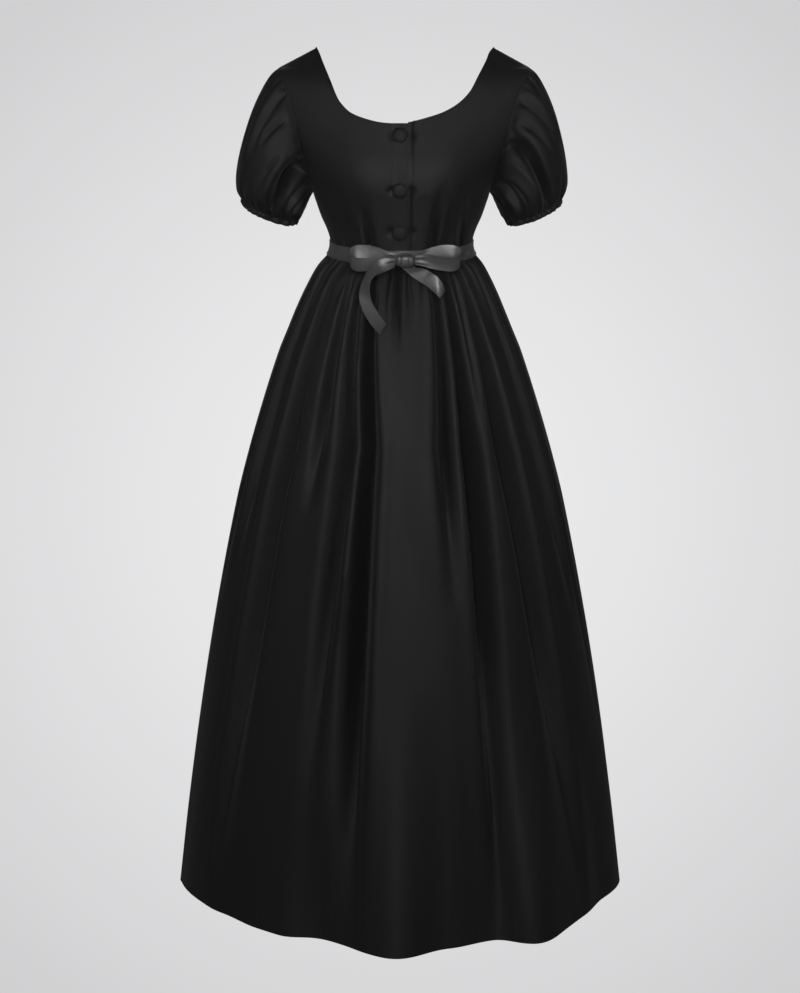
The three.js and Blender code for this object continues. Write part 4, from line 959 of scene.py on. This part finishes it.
def cuff_grid(side):
    """The casing below the sleeve: it swells over the elastic and ends in a short ruffled edge."""
    last = sleeve_surface(RING, np.ones(SLEEVE_COLUMNS), side)
    out = out_of_rings(last[None])[0]
    out /= np.linalg.norm(out, axis=1, keepdims=True)
    down = np.array([side * 0.36, 0, -0.933])
    tucked = out * (CLOTH + 0.35)
    rows = [last - down * CUFF_TUCK - tucked, last - tucked]
    ripple = np.cos(np.radians(RING * CUFF_RIPPLES + 40 * np.sin(np.radians(3 * RING))))[:, None]
    for share in np.linspace(0, 1, 14):
        swell = 0.5 * math.sin(math.pi * share) - 1.2 * share + 0.9 * ripple * share**1.5
        rows.append(last + down * mix(SEAM_GAP, CUFF_WIDTH, share) + out * swell)
    return np.array(rows)


for side, word in SIDES:
    tube = {"held": "gathered", "closed": True, "outward": out_of_rings}
    sew(f"sleeve_{word}_cloth", f"sleeve_{word}", [sleeve_grid(side)],
        rests_on=[f"bodice_front_{word}_cloth"], **tube)
    sew(f"cuff_{word}_cloth", f"cuff_{word}", [cuff_grid(side)], rests_on=[f"sleeve_{word}_cloth"], **tube)

# %% [markdown]
# ## Ribbon and bow
# One satin ribbon goes round the waist seam and is tied in a bow in front. Ribbon bends easily along its
# length and hardly across its width, so each length is a strip swept along a smooth middle line, a little
# cambered.

# %% Belt
BELT_COLUMNS, BELT_ROWS = 360, 13


def at_waist(column, z):
    """A measure of the bodice above the waist seam, and of the skirt below it."""
    return np.where(z > WAIST_Z, bodice(column, z), skirt(column, z))


def belt_grid():
    angle = np.arange(BELT_COLUMNS) * 2 * np.pi / BELT_COLUMNS
    in_front = np.cos(angle) >= 0
    across = np.arcsin(np.abs(np.sin(angle))) / (np.pi / 2)
    dip = np.where(in_front, WAIST_DIP * (1 - across**2), 0)
    rows = []
    for share in np.linspace(0, 1, BELT_ROWS):
        z = np.full(BELT_COLUMNS, WAIST_Z + 1 + RIBBON_WIDTH * (0.5 - share))
        full_at = np.where(z > WAIST_Z, z, z - BELT_SLACK)
        camber = 0.3 * math.sin(math.pi * share)
        ripple = 0.18 * np.sin(angle * 17 + 5 * share) + 0.12 * np.sin(angle * 29 - 3 * share)
        out = LAID_GAP + 0.2 + RIBBON + camber + np.maximum(ripple, 0)
        side = at_waist(SIDE, full_at) + out
        depth = np.where(in_front, at_waist(FRONT, full_at), at_waist(BACK, full_at)) + out
        x = at_waist(LEAN, z) + side * np.sin(angle)
        rows.append(np.stack([x, -depth * np.cos(angle), z - dip], axis=-1))
    return np.array(rows)


def tie(name, node, points, held, rests_on, **form):
    sew(name, node, [points], held, rests_on, slot="ribbon_satin", **form)


tie("belt_ribbon", "ribbon_belt", belt_grid(), "stretched",
    ["bodice_back_cloth", "skirt_front_cloth", "skirt_back_cloth"], closed=True, outward=out_of_rings)

# %% Bow
# Middle line of each length of ribbon, across from the bow's middle, forward of the belt and up, the
# direction of its width, and the share of the width that lies open.
LOOP = np.array([
    [-15.8, 1.8, -306.5, 0, 0, 1, 0.7], [-26, 0.8, -305, 0, 0, 1, 0.85], [-42, -1.7, -301, 0, 0.1, 1, 1],
    [-60, -5.2, -297.5, 0, 0.1, 1, 1], [-76, -6.2, -298, -0.1, 0.1, 1, 1],
    [-85.5, -2.7, -302, -0.15, 0.1, 1, 1], [-88, 3.8, -307.5, -0.15, 0, 1, 1],
    [-84, 10.8, -312.5, -0.08, -0.1, 1, 1], [-74, 14.8, -315, 0, -0.1, 1, 1],
    [-58, 15.8, -313.5, 0, -0.1, 1, 1], [-40, 14.3, -310, 0, -0.05, 1, 1],
    [-26, 12.3, -308, 0, 0, 1, 0.85], [-15.8, 10.8, -307.5, 0, 0, 1, 0.7],
])
TAIL_RIGHT = np.array([
    [-15.8, 16.8, -311, 0, 0, 1, 0.7], [-27, 20.3, -313.5, 0, 0.15, 1, 0.9],
    [-43, 23.8, -318.5, -0.2, 0.45, 0.9, 1], [-55, 25.8, -329, -0.4, 1, 0.5, 1],
    [-63, 29.8, -347, -0.7, 0.8, 0, 1], [-63, 36.8, -367, -0.9, 0.6, -0.15, 1],
    [-55, 44.3, -386, -0.95, 0.35, -0.3, 1], [-44, 49.8, -402, -0.85, 0.35, -0.5, 1],
    [-33, 53.8, -415, -0.7, 0.5, -0.6, 1],
])
TAIL_LEFT = np.array([
    [4, 11.8, -321, 1, 0, 0.1, 0.75], [17, 17.8, -326, 0.85, 0, 0.5, 0.95],
    [30, 21.8, -332.5, 0.6, 0, 0.8, 1], [44, 25.8, -341.5, 0.5, 0, 0.87, 1],
    [55, 28.8, -352, 0.35, 0.35, 0.85, 1], [60.5, 28.3, -363.5, 0.2, 0.75, 0.6, 1],
])


STRIP_COLUMNS = 13
STRIP_CAMBER = 0.5
SQUEEZED, SQUEEZED_WAVES = 3, 2.2  # ripples across the ribbon where it doesn't lie open


def strip_grid(rows, side, steps, slant=0.0):
    """A length of ribbon along its middle line. slant is how much sooner one corner of its end is cut."""
    places = np.arange(len(rows), dtype=float)
    across = np.linspace(-1, 1, STRIP_COLUMNS)[None]
    short_side = (1 + np.sign(slant) * across) / 2
    at = np.linspace(0, 1, steps)[:, None] * (1 - abs(slant) * short_side) * (len(rows) - 1)
    x, forward, up, *way, open_share = (smooth(places, rows[:, k], at) for k in range(7))
    middle = np.stack([BOW_X + side * x, -BELT_FRONT - forward, up], axis=-1)
    width = np.stack([side * way[0], way[1], way[2]], axis=-1)
    width /= np.linalg.norm(width, axis=-1, keepdims=True)
    normal = np.cross(np.gradient(middle, axis=0), width)
    normal /= np.linalg.norm(normal, axis=-1, keepdims=True)
    bowed = STRIP_CAMBER * (1 - across**2)
    bowed = bowed + (1 - open_share) * SQUEEZED * np.cos(np.pi * across * SQUEEZED_WAVES)
    half = RIBBON_WIDTH / 2 * open_share
    return middle + width * (half * across)[..., None] + normal * bowed[..., None]


def towards_front(points):
    return np.broadcast_to(np.array([0.0, -1.0, 0.0]), points.shape)


STRIP = {"outward": towards_front, "offset": 0}
for side, word in ((1, "right"), (-1, "left")):
    loop = strip_grid(LOOP, side, 160)
    tie(f"loop_{word}_ribbon", f"bow_loop_{word}", loop, "folded", ["belt_ribbon"], **STRIP)
for word, rows, steps, slant in (("right", TAIL_RIGHT, 120, -0.05), ("left", TAIL_LEFT, 90, -0.1)):
    tail = strip_grid(rows, 1, steps, slant)
    tie(f"tail_{word}_ribbon", f"bow_tail_{word}", tail, "hung", ["knot_ribbon"], **STRIP)

KNOT_ROUND, KNOT_ALONG = 72, 61
# Place, lean, depth and half width of each crease of the knot, as shares of its half length but the depth.
KNOT_CREASES = [(-0.5, 0.12, 1.1, 0.2), (0.02, -0.15, 0.8, 0.17), (0.46, 0.1, 1.2, 0.2)]


def pillow(value):
    return np.sign(value) * np.abs(value) ** 0.7


def knot_grid():
    """The wrap of the knot: a soft pillow with creases where the ribbon is folded round."""
    round_it = np.arange(KNOT_ROUND) * 2 * np.pi / KNOT_ROUND
    turn, place = np.meshgrid(round_it, np.linspace(0, np.pi, KNOT_ALONG))
    x, flat = pillow(np.cos(place)), pillow(np.sin(place))
    crease = sum(deep * trough(x - at - lean * np.sin(turn), wide) for at, lean, deep, wide in KNOT_CREASES)
    shrink = 1 - crease / (KNOT_SIZE[2] / 2)
    y = pillow(np.cos(turn)) * flat * shrink * KNOT_SIZE[1] / 2
    z = pillow(np.sin(turn)) * flat * shrink * KNOT_SIZE[2] / 2
    middle = [BOW_X, -BELT_FRONT + KNOT_NESTLE - LAID_GAP - KNOT_SIZE[1] / 2, KNOT_Z]
    return np.stack([x * KNOT_SIZE[0] / 2, -y, z], axis=-1) + middle


tie("knot_ribbon", "bow_knot", knot_grid(), "folded", ["belt_ribbon"], closed=True, outward=out_of_rings)

# %% [markdown]
# ## Camera, light and floor
# The camera stands 4 m in front, a little above the shoulders, and looks down by 13 degrees. A broad soft
# box in front and a weaker one at each side draw long highlights down the folds, as in the photograph.
# The floor glows pale, and a painted pool of light makes it brighter in the middle of the picture. It
# throws no light back, because black cloth would show it at once.

# %% Camera
CAMERA_PLACE, CAMERA_PITCH = (0, -4, 0.218), 13.196
camera_data = bpy.data.cameras.new("camera")
camera_data.lens, camera_data.sensor_width = 89.27, 36
camera = bpy.data.objects.new("camera", camera_data)
camera.location = CAMERA_PLACE
camera.rotation_euler = (math.radians(90 - CAMERA_PITCH), 0, 0)
bpy.context.scene.collection.objects.link(camera)
bpy.context.scene.camera = camera

# %% Lights


def soft_box(name, place, aim, size, power, spread=180):
    """A rectangular area light, turned towards a point. A grid in front narrows its spread, in degrees."""
    light = bpy.data.lights.new(name, "AREA")
    light.spread = math.radians(spread)
    light.shape, light.size, light.size_y = "RECTANGLE", *size
    light.energy = power
    lamp = bpy.data.objects.new(name, light)
    lamp.location = place
    x, y, z = np.array(aim, float) - np.array(place, float)
    lamp.rotation_euler = (math.atan2(math.hypot(x, y), -z), 0, math.atan2(y, x) - math.pi / 2)
    bpy.context.scene.collection.objects.link(lamp)


soft_box("front_box", (-0.15, -4.4, 0.5), (0, 0, -0.6), (1.3, 2.6), 70)
soft_box("left_box", (-3.4, -1.8, 0.3), (0, 0, -0.7), (0.9, 2.8), 15)
soft_box("right_box", (3.4, -1.8, 0.3), (0, 0, -0.7), (0.9, 2.8), 14)
soft_box("back_box", (0, 3.6, 2.6), (0, 0, -0.6), (2.6, 1.6), 30)
soft_box("bodice_box", (0.3, -3.4, 0.7), (0, 0, -0.1), (0.9, 0.9), 0.95, 26)

# %% Floor and surroundings
# The floor's colour is a painted pool of light: brightest straight ahead of the camera, fading to pale.
PALE, PAINTED_POOL = (0.63, 0.63, 0.64), (0.85, 0.85, 0.86)
PAINTED_POOL_EDGE = 0.0303  # one minus the cosine of the angle at which the pool of light has faded
PAINTED_POOL_SOFT = 0.65
AMBIENT = (0.05, 0.05, 0.05, 1)
FLOOR_BELOW, FLOOR_SIDE = 6, 240  # millimetres below the hem, and metres


def bare_tree(owner):
    """The emptied node tree of a material or a world."""
    owner.use_nodes = True
    owner.node_tree.nodes.clear()
    return owner.node_tree


def vectors(tree, operation, inputs, output=0):
    return add_node(tree, "VectorMath", inputs, operation=operation).outputs[output]


# Painted pool of light: the floor's glow is brighter the nearer it lies to the camera's line of sight.
floor_material = bpy.data.materials.new("pale_floor_painted_pool")
tree = bare_tree(floor_material)
here = tree.nodes.new("ShaderNodeTexCoord").outputs["Object"]
way = vectors(tree, "NORMALIZE", {0: vectors(tree, "SUBTRACT", {0: here, 1: CAMERA_PLACE})})
pitch = math.radians(CAMERA_PITCH)
straight = vectors(tree, "DOT_PRODUCT", {0: way, 1: (0, math.cos(pitch), -math.sin(pitch))}, "Value")
fade = maths(tree, "DIVIDE", maths(tree, "SUBTRACT", 1, straight), PAINTED_POOL_EDGE)
fade = maths(tree, "MAXIMUM", maths(tree, "MINIMUM", fade, 1), 0)
colour = shades(tree, maths(tree, "POWER", fade, PAINTED_POOL_SOFT), PAINTED_POOL, PALE)
glow = add_node(tree, "Emission", {"Color": colour}).outputs[0]
add_node(tree, "OutputMaterial", {"Surface": glow})

bpy.ops.object.select_all(action="DESELECT")
bpy.ops.mesh.primitive_plane_add(size=FLOOR_SIDE, location=(0, 0, 0))
floor = bpy.context.object
floor.name = "floor"
for corner in floor.data.vertices:
    corner.co.z = (HEM_Z - FLOOR_BELOW) * MM
floor.data.materials.append(floor_material)
floor.visible_diffuse = floor.visible_glossy = floor.visible_shadow = False

world = bpy.data.worlds.new("studio")
bpy.context.scene.world = world
tree = bare_tree(world)
seen = add_node(tree, "Background", {"Color": (*PALE, 1)}).outputs[0]
ambient = add_node(tree, "Background", {"Color": AMBIENT}).outputs[0]
seen_ray = tree.nodes.new("ShaderNodeLightPath").outputs["Is Camera Ray"]
both = add_node(tree, "MixShader", {0: seen_ray, 1: ambient, 2: seen}).outputs[0]
add_node(tree, "OutputWorld", {"Surface": both})
bpy.context.scene.view_settings.view_transform = "Standard"
